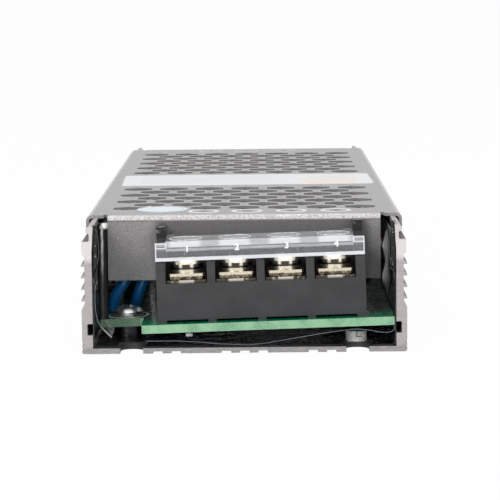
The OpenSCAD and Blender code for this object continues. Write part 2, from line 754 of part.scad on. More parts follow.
// Frame-shaped core lying flat, with a limb through the middle along y
module framed_core(at, size, yoke, limb) {
    difference() {
        block_on(at, size, core_z);
        difference() {
            block_on(at, [size[0] - 2 * core_limb, size[1] - 2 * yoke, size[2] + 2 * cut], core_z - cut);
            block_on(at, [limb, size[1], size[2] + 2 * cut], core_z - cut);
        }
    }
}

// Winding or bobbin cheek round the middle limb
module limb_ring(at, size, limb, z) {
    difference() {
        block_on(at, size, z);
        block_on(at, [limb + 2 * fit, size[1] + cut, core_size[2] + 2 * fit], core_z - fit);
    }
}

cheek_t = 0.9;
winding_w = core_size[0] - 2 * core_limb - 2 * winding_room;
window_d = core_size[1] - 2 * core_yoke;
winding_h = inside_h - 0.6;

module transformer_core() color([0.2, 0.2, 0.21]) on_board()
    framed_core(transformer_at, core_size, core_yoke, center_limb);

module transformer_bobbin() color([0.1, 0.1, 0.1]) on_board() for (s = [-1, 1])
    limb_ring(transformer_at + [0, s * (window_d - cheek_t - winding_room) / 2],
        [winding_w, cheek_t, winding_h + gap], center_limb, 0);

module transformer_winding() color([0.75, 0.66, 0.2]) on_board()
    limb_ring(transformer_at,
        [winding_w - winding_room, window_d - 2 * cheek_t - 2 * winding_room, winding_h], center_limb, 0.2);

module boost_inductor_core() color([0.2, 0.2, 0.21]) on_board()
    framed_core(boost_at, [boost_core_size[0], boost_core_size[1], core_size[2]], boost_yoke, boost_limb);

module boost_inductor_winding() color([0.75, 0.66, 0.2]) on_board()
    limb_ring(boost_at, [boost_core_size[0] - 2 * core_limb - winding_room,
        boost_core_size[1] - 2 * boost_yoke - winding_room, winding_h], boost_limb, 0);

// Can with a rounded rim and a bead near its foot
module can(r, h) {
    rim = 0.6;
    rotate_extrude() difference() {
        square([r, h]);
        translate([r - rim, h - rim]) difference() {
            square(rim + eps);
            circle(rim);
        }
        translate([r, r * 0.4]) circle(rim * 0.6);
    }
}

module output_capacitors() color([0.12, 0.14, 0.2]) on_board() for (row = [0, 1], i = [0 : 3])
    translate([
        toroid_at[0] + (i - 1.5) * (output_cap_d + cap_gap) - 3,
        zone_start(0) + output_cap_d / 2 + row * (output_cap_d + cap_gap),
        0
    ]) can(output_cap_d / 2, output_cap_h);

module bulk_capacitors() color([0.1, 0.1, 0.12]) on_board() for (i = [-1 : 1])
    translate([i * (bulk_d + 0.4), zone_middle(5), 0]) can(bulk_d / 2, bulk_h);

module choke_core() color([0.2, 0.2, 0.21]) on_board() difference() {
    block_on(choke_at, choke_size, choke_size[2]);
    block_on(choke_at, [choke_window[0], choke_window[1], choke_size[2] + 2 * cut], choke_size[2] - cut);
}

module choke_windings() color([0.7, 0.4, 0.15]) on_board() for (s = [-1, 1]) {
    limb_t = (choke_size[1] - choke_window[1]) / 2;
    at = choke_at + [0, s * (choke_size[1] - limb_t) / 2];
    difference() {
        block_on(at, [choke_window[0] - 3, limb_t + 2.9, 2.8 * choke_size[2]], 0);
        block_on(at, [choke_window[0], limb_t + 2 * fit, choke_size[2] + 2 * fit], choke_size[2] - fit);
    }
}

module output_inductor_core() color([0.25, 0.3, 0.25]) on_board()
    translate([toroid_at[0], toroid_at[1], 1.6]) difference() {
        cylinder(r = toroid_d / 2 - 1.5, h = 6);
        translate([0, 0, -cut]) cylinder(r = toroid_d / 2 - 5.5, h = 6 + 2 * cut);
    }

// Enamelled winding round the toroid: an open ring with a hollow for the core
module output_inductor_winding() color([0.7, 0.4, 0.15]) on_board()
    translate([toroid_at[0], toroid_at[1], 0]) rotate(20) rotate_extrude(angle = 320) difference() {
        translate([toroid_d / 2 - 7, 0.1]) square([7, 9]);
        translate([toroid_d / 2 - 5.6, 1.5]) square([4.2, 6.2]);
    }

module filter_capacitor() color([0.75, 0.6, 0.1]) on_board() block_on(filter_at, filter_cap_size);

// Round flat part standing on its edge, with its axis along y
module standing_disc(at, d, t) {
    translate([at[0], at[1] + t / 2, d / 2 + 1]) rotate([90, 0, 0]) cylinder(d = d, h = t);
}

module safety_capacitors() color([0.1, 0.35, 0.65]) on_board() for (s = [-1, 1])
    translate([safety_x, zone_middle(3) + s * safety_d * 0.7, safety_d / 2 + 1])
        rotate([0, 90, 0]) cylinder(d = safety_d, h = safety_t);

module bridge_rectifier() color([0.1, 0.1, 0.1]) on_board() block_on(bridge_at, bridge_size);

module fuse() color([0.85, 0.82, 0.75]) on_board()
    translate([fuse_at[0], fuse_at[1], fuse_d / 2]) rotate([0, 90, 0]) cylinder(d = fuse_d, h = fuse_l);

module surge_varistor() color([0.1, 0.3, 0.6]) on_board() standing_disc([0, disc_y], disc_d, disc_t);

module inrush_thermistor() color([0.15, 0.2, 0.15]) on_board()
    standing_disc([disc_d + 1, disc_y], disc_d, disc_t);

// Copies its children at two packages on each bracket, turned towards the middle of the case
module at_packages() {
    for (spot = [left_bracket, right_bracket], i = [0, 1])
        translate([spot[0], spot[1] + (package_step - package_size[1]) / 2 + i * package_step, 0])
            mirror([spot[0] > 0 ? 1 : 0, 0, 0]) children();
}

module heat_brackets() color([0.7, 0.7, 0.72]) on_board() for (spot = [left_bracket, right_bracket])
    translate([spot[0], spot[1], 0]) mirror([spot[0] > 0 ? 1 : 0, 0, 0])
        translate([-bracket_t, 0, 0]) cube([bracket_t, bracket_l, bracket_h]);

module power_transistors() color([0.1, 0.1, 0.1]) on_board() at_packages()
    translate([0, 0, package_z]) cube(package_size);

module transistor_clips() color([0.7, 0.7, 0.7]) on_board() at_packages() {
    x = package_size[0];
    y = (package_size[1] - clip_w) / 2;
    span([x, y, bracket_h / 2], [x + clip_t, y + clip_w, bracket_h + clip_t]);
    span([-bracket_t, y, bracket_h], [x + clip_t, y + clip_w, bracket_h + clip_t]);
}

module control_board() color([0.05, 0.3, 0.2]) on_board() block_on(control_at, control_size);

module control_chips() color([0.08, 0.08, 0.08]) on_board() {
    face = control_at[0] + control_size[0] / 2;
    for (chip = [[-4, 10, 1.6], [8, 5, 1.4]])
        span([face, control_at[1] + chip[0] - chip[1] / 2, 3],
             [face + chip[2], control_at[1] + chip[0] + chip[1] / 2, 7]);
}

module optocouplers() color([0.9, 0.9, 0.88]) on_board() for (s = [-1, 1])
    block_on([opto_x, zone_middle(2) + s * opto_size[1]], opto_size);

base_extrusion();
top_cover();
rating_label();
round_sticker();
insulation_liner();
clear_film();
main_board();
board_standoffs();
floor_posts();
board_screws();
output_terminal_block();
output_terminal_plates();
output_lid();
output_washer(0);  // output_washer_1
output_washer(1);  // output_washer_2
output_washer(2);  // output_washer_3
output_washer(3);  // output_washer_4
output_screw(0);  // output_screw_1
output_screw(1);  // output_screw_2
output_screw(2);  // output_screw_3
output_screw(3);  // output_screw_4
input_terminal_block();
input_terminal_plates();
input_lid();
input_washer(0);  // input_washer_1
input_washer(1);  // input_washer_2
input_washer(2);  // input_washer_3
input_screw(0);  // input_screw_1
input_screw(1);  // input_screw_2
input_screw(2);  // input_screw_3
blue_wires();
transformer_core();
transformer_bobbin();
transformer_winding();
boost_inductor_core();
boost_inductor_winding();
bulk_capacitors();
output_capacitors();
choke_core();
choke_windings();
output_inductor_core();
output_inductor_winding();
filter_capacitor();
safety_capacitors();
bridge_rectifier();
fuse();
inrush_thermistor();
surge_varistor();
power_transistors();
heat_brackets();
transistor_clips();
control_board();
control_chips();
optocouplers();
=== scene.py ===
"""Looks for the mesh case switching power supply: a camera, a pale studio, a finish for every solid,
and the pieces that the solids leave plain: prints, numerals, leads, windings, can tops and solder."""
from math import cos, pi, radians, sin

import bmesh
import bpy
from mathutils import Matrix, Vector


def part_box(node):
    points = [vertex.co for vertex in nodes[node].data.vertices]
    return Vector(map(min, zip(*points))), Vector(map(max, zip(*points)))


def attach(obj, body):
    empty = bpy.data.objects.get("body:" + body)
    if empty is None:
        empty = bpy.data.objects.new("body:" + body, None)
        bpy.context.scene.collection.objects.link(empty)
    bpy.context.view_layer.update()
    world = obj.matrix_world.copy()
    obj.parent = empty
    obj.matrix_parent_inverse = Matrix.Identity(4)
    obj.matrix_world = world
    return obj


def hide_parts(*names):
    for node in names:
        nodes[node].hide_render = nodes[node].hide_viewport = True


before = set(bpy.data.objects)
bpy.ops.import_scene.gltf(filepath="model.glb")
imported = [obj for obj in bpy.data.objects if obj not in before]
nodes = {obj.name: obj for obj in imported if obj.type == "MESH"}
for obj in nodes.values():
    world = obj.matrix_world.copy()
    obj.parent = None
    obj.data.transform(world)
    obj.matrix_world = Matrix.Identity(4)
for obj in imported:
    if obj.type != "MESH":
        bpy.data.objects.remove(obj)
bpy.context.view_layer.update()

MM = 0.001

# ---- Measures, in millimetres, as the solids have them ----

BOARD_TILT = radians(1.6)
BOARD_T = 1.6
BOARD_Z = 3.7
PIVOT_X = -22.9
CASE_L = (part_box("base_extrusion")[1].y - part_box("base_extrusion")[0].y) / MM
COVER_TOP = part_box("top_cover")[1].z / MM
COVER_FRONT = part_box("top_cover")[0].y / MM
COVER_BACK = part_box("top_cover")[1].y / MM
PITCH = 9.5
FACE_Y = 2.0
SCREW_Y = 7.2
PIN_Y = 12.1
OUTPUT_X = 3.4726
LID_Z = 14.5
LID_TOP = 15.5
LIP_BOTTOM = 11.9
TAB_TOP = 15.4
POCKET_W = 7.95
END_WALL = 1.775
PIN_TIP = -14.1

scale = Matrix.Scale(MM, 4)
BOARD = (
    scale
    @ Matrix.Translation((PIVOT_X, -CASE_L / 2, BOARD_Z))
    @ Matrix.Rotation(-BOARD_TILT, 4, "Y")
    @ Matrix.Translation((-PIVOT_X, 0, BOARD_T))
)
OUTPUT = BOARD @ Matrix.Translation((OUTPUT_X, 0, 0))
INPUT = BOARD @ Matrix.Translation((0, CASE_L, 0)) @ Matrix.Rotation(pi, 4, "Z")
BLOCKS = {"output": (OUTPUT, 4), "input": (INPUT, 3)}


def screw_x(ways, i):
    return (i - (ways - 1) / 2) * PITCH


def half_block(ways):
    return ((ways - 1) * PITCH + POCKET_W) / 2 + END_WALL


# ---- Camera ----

camera = bpy.data.objects.new("camera", bpy.data.cameras.new("camera"))
camera.data.sensor_width = 36
camera.data.lens = 165.1
camera.data.clip_start = 0.02
camera.data.clip_end = 20
turn = (
    Matrix.Rotation(radians(0.203), 4, "Z")
    @ Matrix.Rotation(pi / 2 - radians(6.978), 4, "X")
    @ Matrix.Rotation(radians(-0.562), 4, "Z")
)
camera.matrix_world = Matrix.Translation((0.00271, -0.52883, 0.07259)) @ turn
bpy.context.scene.collection.objects.link(camera)
bpy.context.scene.camera = camera
bpy.context.scene.view_settings.view_transform = "Standard"


# ---- Finishes ----

def rgb(red, green, blue):
    """Linear colour from screen values of 0 to 255."""
    def linear(value):
        value /= 255
        return value / 12.92 if value <= 0.04045 else ((value + 0.055) / 1.055) ** 2.4
    return (linear(red), linear(green), linear(blue), 1.0)


class Flow:
    """A value on its way through a finish. Arithmetic on it adds Math nodes."""

    def __init__(self, finish, socket):
        self.finish = finish
        self.socket = socket

    def maths(self, operation, *values):
        return self.finish.node("ShaderNodeMath", {"operation": operation}, dict(enumerate(values)))

    def __add__(self, other):
        return self.maths("ADD", self, other)

    def __sub__(self, other):
        return self.maths("SUBTRACT", self, other)

    def __rsub__(self, other):
        return self.maths("SUBTRACT", other, self)

    def __mul__(self, other):
        return self.maths("MULTIPLY", self, other)

    def __truediv__(self, other):
        return self.maths("DIVIDE", self, other)

    def __gt__(self, other):
        return self.maths("GREATER_THAN", self, other)

    def __lt__(self, other):
        return self.maths("LESS_THAN", self, other)

    def __abs__(self):
        return self.maths("ABSOLUTE", self)

    def part(self):
        return self.maths("FRACT", self)

    def whole(self):
        return self.maths("FLOOR", self)

    def most(self, other):
        return self.maths("MAXIMUM", self, other)

    __radd__ = __add__
    __rmul__ = __mul__


class Finish:
    """A procedural material, with one method that makes all of its nodes."""

    def __init__(self, name, constants):
        self.material = bpy.data.materials.new(name)
        self.material.use_nodes = True
        self.tree = self.material.node_tree
        self.shader = self.tree.nodes["Principled BSDF"]
        for socket, value in constants.items():
            self.shader.inputs[socket].default_value = value

    def node(self, kind, settings=None, sockets=None, out=0):
        made = self.tree.nodes.new(kind)
        for key, value in (settings or {}).items():
            setattr(made, key, value)
        for key, value in (sockets or {}).items():
            self.feed(made.inputs[key], value)
        return Flow(self, made.outputs[out])

    def feed(self, socket, value):
        if isinstance(value, Flow):
            self.tree.links.new(value.socket, socket)
        else:
            socket.default_value = value

    def put(self, socket, value):
        self.feed(self.shader.inputs[socket], value)

    def place(self, stretch=(1, 1, 1), turn=(0, 0, 0), centre=(0, 0, 0)):
        here = self.node("ShaderNodeTexCoord", out="Object")
        moved = self.node("ShaderNodeVectorMath", {"operation": "SUBTRACT"}, {0: here, 1: centre})
        return self.node("ShaderNodeMapping", sockets={"Vector": moved, "Rotation": turn, "Scale": stretch})

    def axes(self, vector):
        split = self.node("ShaderNodeSeparateXYZ", sockets={0: vector}).socket.node
        return [Flow(self, split.outputs[i]) for i in range(3)]

    def spot(self):
        """x, y and z in the millimetres of the whole part."""
        return self.axes(self.place((1000, 1000, 1000)))

    def local(self, place):
        """x, y and z in the millimetres of a place such as a terminal block's."""
        turn = place.to_3x3().normalized().inverted().to_euler()
        return self.axes(self.place((1000, 1000, 1000), turn, place.to_translation()))

    def noise(self, size, detail=3.0, rough=0.55, vector=None):
        """Cloudy noise of 0 to 1, whose clouds are about size millimetres across."""
        sockets = {
            "Vector": vector or self.place(), "Scale": 1 / (size * MM), "Detail": detail, "Roughness": rough}
        return self.node("ShaderNodeTexNoise", sockets=sockets, out="Fac")

    def grain(self, size, vector=None):
        """One random value of 0 to 1 for each cell about size millimetres across."""
        sockets = {"Vector": vector or self.place(), "Scale": 1 / (size * MM)}
        return self.axes(self.node("ShaderNodeTexVoronoi", {"feature": "F1"}, sockets, "Color"))[0]

    def mix(self, mask, first, second):
        return self.node("ShaderNodeMix", {"data_type": "RGBA"}, {0: mask, 6: first, 7: second}, out=2)

    def ramp(self, value, low, high):
        """0 below low, 1 above high, smooth between."""
        sockets = {"Value": value, "From Min": low, "From Max": high}
        return self.node("ShaderNodeMapRange", {"interpolation_type": "SMOOTHSTEP"}, sockets)

    def facing(self, axis):
        """How much of the surface's normal lies along an axis, from -1 to 1."""
        return self.axes(self.node("ShaderNodeNewGeometry", out="True Normal"))["XYZ".index(axis)]

    def bump(self, height, depth, strength=1.0):
        sockets = {"Height": height, "Distance": depth * MM, "Strength": strength}
        self.put("Normal", self.node("ShaderNodeBump", sockets=sockets, out="Normal"))


def from_way(x, ways):
    """Distance along a terminal block from the middle of the nearest way."""
    return abs((x / PITCH + (ways % 2) / 2).part() - 0.5) * PITCH


def extruded_aluminium():
    """Drawn lines along the case, painted shade on the fin ledges and in the floor slots, and sawn ends with
    a painted highlight near the top and painted shade along the bottom.
    """
    f = Finish("extruded_aluminium", {"Metallic": 0.5})
    x, y, z = f.spot()
    drawn = f.noise(1, 4, 0.6, f.place((4, 0.04, 4)))
    sawn = f.noise(1, 3, 0.6, f.place((0.7, 1, 4)))
    end = f.ramp(abs(f.facing("Y")), 0.6, 0.9) * (abs(y) > CASE_L / 2 - 0.1)
    # painted highlight: the sawn end is painted brighter from the top block up to the neck
    end_highlight = f.ramp(z, 17.0, 18.6) * f.ramp(z, 21.8, 21.2)
    # painted shade: the bottom edge of the sawn end is painted darker
    cut = f.mix(f.ramp(z, 1.5, 0.9), rgb(164, 158, 158), rgb(138, 136, 135))
    # painted highlight: the neck above the top block is painted brighter
    cut = f.mix(f.ramp(z, 20.6, 21.2), cut, rgb(200, 195, 193))
    cut = f.mix(end_highlight, cut, rgb(214, 210, 208))
    cut = f.mix(f.ramp(sawn, 0.35, 0.7) * 0.4, cut, rgb(196, 191, 190))
    long_face = f.mix(f.ramp(drawn, 0.35, 0.65), rgb(150, 146, 145), rgb(186, 182, 180))
    # painted shade: the up-facing fin ledges, shaded by the cover's flanges, are painted dark
    ledge_shade = f.ramp(f.facing("Z"), 0.3, 0.8) * (z < 22.5) * (abs(x) > 29.2)
    long_face = f.mix(ledge_shade, long_face, rgb(92, 88, 86))
    # painted shade: the walls of the floor slots near the ends are painted dark
    slot = (z < 1.1) * (abs(y) > CASE_L / 2 - 6) * (f.facing("Z") > -0.5)
    long_face = f.mix(slot, long_face, rgb(58, 57, 57))
    f.put("Base Color", f.mix(end, long_face, cut))
    f.put("Roughness", 0.38 + drawn * 0.14 + sawn * 0.06)
    f.bump(drawn + sawn * 0.4, 0.02, 0.5)
    return f


def cover_paint():
    """Fine sparkling grey paint, with a painted highlight round the bends, painted shade just under them and
    behind the output lid, and painted shade over the flat top.
    """
    f = Finish("sparkling_grey_paint", {"Metallic": 0.3, "Coat Roughness": 0.3, "Coat IOR": 1.5})
    flake = f.grain(0.13)
    pits = f.noise(0.22, 2, 0.5)
    cloud = f.noise(14, 2, 0.5)
    up = abs(f.facing("Z"))
    body = f.mix(cloud, rgb(132, 129, 129), rgb(142, 140, 140))
    # painted shade: the flat top is painted darker than the flanges, against the stronger light on it
    body = f.mix(f.ramp(up, 0.985, 0.999), body, f.mix(cloud, rgb(108, 105, 105), rgb(118, 116, 116)))
    body = f.mix(f.ramp(flake, 0.72, 1.0) * 0.5, body, rgb(190, 187, 186))
    body = f.mix(f.ramp(flake, 0.3, 0.0) * 0.3, body, rgb(92, 90, 90))
    # painted shade: a darker band just under the bends
    shade_under_bend = f.ramp(up, 0.015, 0.05) * f.ramp(up, 0.3, 0.16)
    body = f.mix(shade_under_bend * 0.6, body, rgb(70, 67, 68))
    x, y, _ = f.spot()
    # painted shade: the front flange behind the output lid is painted darker
    shade_behind_lid = f.ramp(abs(x - OUTPUT_X), 22, 19.5) * (y < COVER_FRONT + 2) * (up < 0.015)
    body = f.mix(shade_behind_lid * 0.7, body, rgb(62, 60, 61))
    # painted highlight: the bends are painted bright, with less coat there
    rim = f.ramp(up, 0.16, 0.34) * f.ramp(up, 0.999, 0.985)
    bend_glint_colour = f.mix(f.ramp(f.noise(0.3, 3, 0.7), 0.38, 0.62), rgb(156, 153, 152), rgb(214, 211, 210))
    f.put("Base Color", f.mix(rim, body, bend_glint_colour))
    f.put("Roughness", 0.44 + pits * 0.14)
    f.put("Coat Weight", (0.5 + flake * 0.25) * (1 - rim * 0.8))
    f.bump(pits * 0.8 + flake * 0.3, 0.012, 0.45)
    return f


def label_paper():
    """Satin white label: faint grey rows, and a pale orange field near one end."""
    f = Finish("printed_label", {"Coat Weight": 0.25, "Coat Roughness": 0.2})
    middle = (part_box("rating_label")[0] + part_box("rating_label")[1]) / 2
    across, along, _ = f.axes(f.place((1000, 1000, 1000), centre=middle, turn=(0, 0, radians(1))))
    rows = (along / 1.9).part()
    row_ink = (rows > 0.3) * (rows < 0.62)
    words = f.ramp(f.noise(1, 2, 0.5, f.place((900, 160, 0), centre=middle)), 0.47, 0.53)
    rows_end = 6 + f.grain(1, f.node("ShaderNodeCombineXYZ", sockets={1: (along / 1.9).whole()})) * 7
    left = (across > -24) * (across < rows_end)
    right = (across > 13.5) * (across < 25) * (along > -0.5) * (along < 9.5)
    ink = row_ink * words * left.most(right) * (abs(along) < 9.8)
    field = (across > 12.6) * (across < 24.6) * (along > -10.4) * (along < -1.4)
    paper = f.mix(f.noise(3, 3), rgb(222, 224, 227), rgb(231, 232, 235))
    paper = f.mix(ink * 0.55, paper, rgb(150, 152, 162))
    paper = f.mix(field * (0.75 + f.noise(2) * 0.25), paper, rgb(241, 215, 196))
    f.put("Base Color", paper)
    f.put("Roughness", 0.38 + ink * 0.12 + f.noise(0.6) * 0.08)
    f.bump(f.noise(0.5, 4), 0.006, 0.5)
    return f


def sticker_paper():
    f = Finish("round_sticker", {"Coat Weight": 0.3, "Coat Roughness": 0.15})
    middle = (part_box("round_sticker")[0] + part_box("round_sticker")[1]) / 2
    from_middle = f.place((1000, 1000, 0), centre=middle)
    radius = f.node("ShaderNodeVectorMath", {"operation": "LENGTH"}, {0: from_middle}, 1)
    rim = (radius > 4.1) * (radius < 4.35)
    paper = f.mix(f.noise(2.5), rgb(204, 220, 230), rgb(218, 230, 238))
    f.put("Base Color", f.mix(rim * 0.5, paper, rgb(120, 165, 200)))
    f.put("Roughness", 0.3 + f.noise(0.8) * 0.12)
    f.bump(f.noise(0.4), 0.005, 0.5)
    return f


def black_liner():
    f = Finish("black_liner", {"Specular IOR Level": 0.6, "Coat Weight": 0.6, "Coat Roughness": 0.1})
    waves = f.noise(1, 2, 0.5, f.place((0.3, 0.32, 0.07)))
    dents = f.noise(1, 3, 0.5, f.place((0.5, 0.9, 0.35)))
    f.put("Base Color", f.mix(f.noise(4), rgb(9, 9, 10), rgb(24, 24, 26)))
    f.put("Roughness", 0.2 + f.noise(0.9) * 0.18)
    f.bump(waves + dents * 0.25, 0.7, 0.6)
    return f


def creased_liner():
    """Black sheet with a painted highlight along its fold: brightest near the top, where a painted glint
    sits, and fading down the crease.
    """
    f = Finish("creased_liner", {"Specular IOR Level": 0.15})
    x, _, z = f.spot()
    cloud = f.noise(1, 3, 0.6, f.place((1, 1, 0.35)))
    wander = (f.noise(1, 2, 0.5, f.place((0, 0, 0.3))) - 0.5) * 0.5
    crease = f.ramp(abs(x + 26.95 + wander), 0.34, 0.04)
    # painted glint at the top of the fold and painted highlight along the crease
    top_glint = f.ramp(z, 23.7, 24.3) * f.ramp(abs(x + 26.6), 0.95, 0.5) * f.ramp(cloud, 0.42, 0.55)
    crease_highlight = crease * (0.03 + f.ramp(z, 13, 21) * 0.4) * f.ramp(cloud, 0.2, 0.55)
    f.put("Base Color", f.mix(crease_highlight.most(top_glint), rgb(12, 12, 13), rgb(226, 226, 222)))
    f.put("Roughness", 0.2 + cloud * 0.2)
    f.bump(cloud, 0.05, 0.4)
    return f


def lobed_liner():
    """Black sheet with a painted highlight along the inner edges of its two bulges."""
    f = Finish("bulged_liner", {"Specular IOR Level": 0.2})
    x, _, z = f.spot()
    cloud = f.noise(1, 3, 0.6, f.place((1, 1, 0.3)))
    across = f.ramp(x, 28, 26.4)
    # painted highlight on the bulges' inner edges
    glow = across * f.ramp(cloud, 0.15, 0.6) * 0.34 + f.ramp(x, 26.75, 26.5) * 0.3
    f.put("Base Color", f.mix(glow * f.ramp(z, 11.5, 16.5), rgb(17, 17, 18), rgb(190, 190, 186)))
    f.put("Roughness", 0.22 + cloud * 0.2)
    f.bump(cloud, 0.05, 0.4)
    return f


def cut_liner():
    """The sheet's ragged cut edge: black with white specks."""
    f = Finish("cut_liner_edge", {"Specular IOR Level": 0.4})
    speck = f.ramp(f.noise(0.5, 3, 0.7), 0.6, 0.68)
    f.put("Base Color", f.mix(speck, rgb(20, 20, 21), rgb(200, 200, 198)))
    f.put("Roughness", 0.4 + f.noise(0.4) * 0.2)
    f.bump(speck, 0.06, 0.5)
    return f


def clear_film():
    """Thin clear film: almost unseen across its face, blue-grey along its cut edges, with a painted highlight
    on its lower left wing.
    """
    f = Finish("clear_film", {"Specular IOR Level": 0.5})
    x, _, z = f.spot()
    edge = abs(f.facing("Y")) > 0.5
    # painted highlight: the film's lower left wing is painted pale and made more opaque
    fold = (x < -24.5) * f.ramp(z, 5.4, 4.4)
    f.put("Base Color", f.mix(fold, rgb(104, 112, 120), rgb(196, 198, 200)))
    f.put("Roughness", 0.12 + f.noise(2) * 0.12)
    f.put("Alpha", (edge * 0.8).most(fold * f.ramp(f.noise(0.9), 0.45, 0.65) * 0.45 + 0.04))
    f.bump(f.noise(5, 2, 0.5), 0.2, 0.4)
    return f


def circuit_board():
    """Green solder mask over faint tracks, painted dark as shade further in and brighter as light near the
    front, with a pale cut edge that shows the glass weave and painted shade on its set-back left part.
    """
    f = Finish("circuit_board", {"Specular IOR Level": 0.55, "Coat Roughness": 0.12})
    flat = abs(f.facing("Z"))
    mask = f.ramp(flat, 0.4, 0.6)
    x, y, z = f.spot()
    lanes = (x / 2.6 + f.grain(9) * 3).part()
    tracks = f.ramp(abs(lanes - 0.5), 0.22, 0.28)
    pour = f.ramp(f.noise(12, 2, 0.4), 0.5, 0.53)
    copper = tracks.most(pour)
    # painted light and shade: brighter green near the front, dark green as shade further in
    front = f.ramp(y, -CASE_L / 2 + 13, -CASE_L / 2 + 3)
    top = f.mix(copper, rgb(3, 40, 30), rgb(5, 54, 40))
    top = f.mix(front, top, f.mix(copper, rgb(10, 108, 78), rgb(18, 126, 92)))
    weave = abs(((x * 0.8 + z * 1.6) / 0.9).part() - 0.5) * 2
    threads = abs((z / 0.2 + f.noise(0.7) * 0.8).part() - 0.5) * 2
    resin = f.noise(2.4, 3, 0.6)
    edge = f.mix(f.ramp(resin, 0.35, 0.65), rgb(96, 146, 112), rgb(126, 172, 136))
    # painted shade on the set-back left part of the cut edge
    edge = f.mix((x < -20.4) * (y > -CASE_L / 2 + 1) * (y < -CASE_L / 2 + 20) * 0.55, edge, rgb(30, 52, 38))
    edge = f.mix(weave * threads * 0.5, edge, rgb(182, 212, 178))
    f.put("Base Color", f.mix(mask, edge, top))
    f.put("Roughness", 0.55 - mask * 0.32 + f.noise(1.2) * 0.1)
    f.put("Coat Weight", mask * 0.5)
    f.bump(copper * mask + weave * threads * (1 - mask) * 0.5, 0.03, 0.6)
    return f


def charcoal_plastic(side):
    """Grained charcoal moulding, whose tall end posts are black and torn at the top, where grey streaks are
    painted glints.
    """
    f = Finish(f"{side}_charcoal", {"Specular IOR Level": 0.4})
    z = f.local(BLOCKS[side][0])[2]
    grain = f.noise(0.35, 4, 0.65)
    body = f.mix(f.ramp(f.noise(5, 3), 0.3, 0.7), rgb(45, 45, 47), rgb(54, 54, 56))
    post = f.ramp(z, 15.2, 15.6)
    # the tears are bumped for real; their grey streaks are painted glints
    torn_and_glinting = f.ramp(f.noise(1, 4, 0.7, f.place((0.7, 1, 1.6), (0, 0.6, 0))), 0.52, 0.62) * f.ramp(z, 16.2, 17)
    f.put("Base Color", f.mix(torn_and_glinting * 0.75, f.mix(post, body, rgb(26, 26, 27)), rgb(158, 158, 156)))
    f.put("Roughness", 0.5 + grain * 0.16 - post * 0.2)
    f.bump(grain + torn_and_glinting * 4, 0.025, 0.4)
    return f


def clear_moulding(side):
    """Clear plastic, milky along its lip from haze and a painted reflection of the lights, whiter in front of
    each collar where the lit collar is painted through, with painted vertical glints and painted highlights
    on its moulded edges.
    """
    place, ways = BLOCKS[side]
    half = half_block(ways)
    inner = half - END_WALL - 0.3
    f = Finish(f"{side}_clear_moulding", {"Specular IOR Level": 0.7})
    x, y, z = f.local(place)
    front = y < FACE_Y + 0.05
    pitch = from_way(x, ways)
    # painted light: the lip is whiter in front of each collar, for the lit collar seen through it
    collar_light_painted = f.ramp(pitch, 3.5, 2.4)
    streak = f.noise(1, 3, 0.6, f.place((0.22, 1, 1.3)))
    # painted vertical glints
    upright_glints = f.ramp(f.noise(1, 2, 0.5, f.place((2.2, 1, 0.35))), 0.62, 0.7)
    low = 0.03 + streak * 0.1 + upright_glints * 0.3
    # the milky lip is partly haze and partly a painted reflection of the lights
    middle = f.ramp(z, 13.5, 14.0) * (0.28 + streak * 0.42)
    high = f.ramp(z, LID_Z - 0.02, LID_Z + 0.12) * (0.5 + collar_light_painted * 0.3 + streak * 0.12)
    line = abs(z - (LID_Z - 0.1)) < 0.1
    lip = low.most(middle * (1 - line * 0.6)).most(high)
    tab = abs(x) > inner
    # painted highlights along the end tabs' edges and the lip's lower edge
    lip_edge_highlight = (abs(x) > half - 0.24).most(z > TAB_TOP - 0.22).most(abs(z - 14.4) < 0.11) * tab
    lip_edge_highlight = lip_edge_highlight.most((abs(abs(x) - inner) < 0.14) * (z > 14.3)).most(z < LIP_BOTTOM + 0.68)
    lip = (lip * (1 - tab * 0.6)).most(lip_edge_highlight * 0.86)
    wall = (abs(f.facing("Z")) < 0.5) * (z > LID_TOP - 0.9)
    rest = 0.07 + streak * 0.06 + wall * 0.22
    f.put("Base Color", f.mix(streak, rgb(206, 210, 214), rgb(232, 234, 236)))
    f.put("Alpha", (front * lip).most(rest))
    f.put("Roughness", 0.12 + f.noise(1.6) * 0.14)
    f.bump(streak, 0.05, 0.3)
    return f


# painted highlight: a near-white, half-clear finish for thin strips that stand for light caught on edges
def edge_highlight_finish():
    f = Finish("edge_highlight_finish", {"Specular IOR Level": 0.6})
    f.put("Base Color", f.mix(f.noise(0.8), rgb(226, 230, 232), rgb(248, 250, 250)))
    f.put("Roughness", 0.3 + f.noise(0.6) * 0.2)
    f.put("Alpha", 0.3 + f.ramp(f.noise(1.4, 3), 0.35, 0.6) * 0.6)
    f.bump(f.noise(0.4), 0.02, 0.4)
    return f


def plate_finish(side):
    """Terminal plates: dark, and bright near the middle of each way and in patches."""
    place, ways = BLOCKS[side]
    f = Finish(f"{side}_plate", {"Metallic": 1.0})
    x = f.local(place)[0]
    pitch = from_way(x, ways)
    # brighter near the middle of each way and in patches
    bright_mid_way = f.ramp(pitch, 1.6, 1.3).most(f.ramp(f.noise(0.7, 3), 0.55, 0.62) * 0.6)
    f.put("Base Color", f.mix(bright_mid_way, rgb(96, 90, 80), rgb(230, 224, 212)))
    f.put("Roughness", 0.24 + f.noise(0.9) * 0.16)
    f.bump(f.noise(0.3), 0.01, 0.5)
    return f


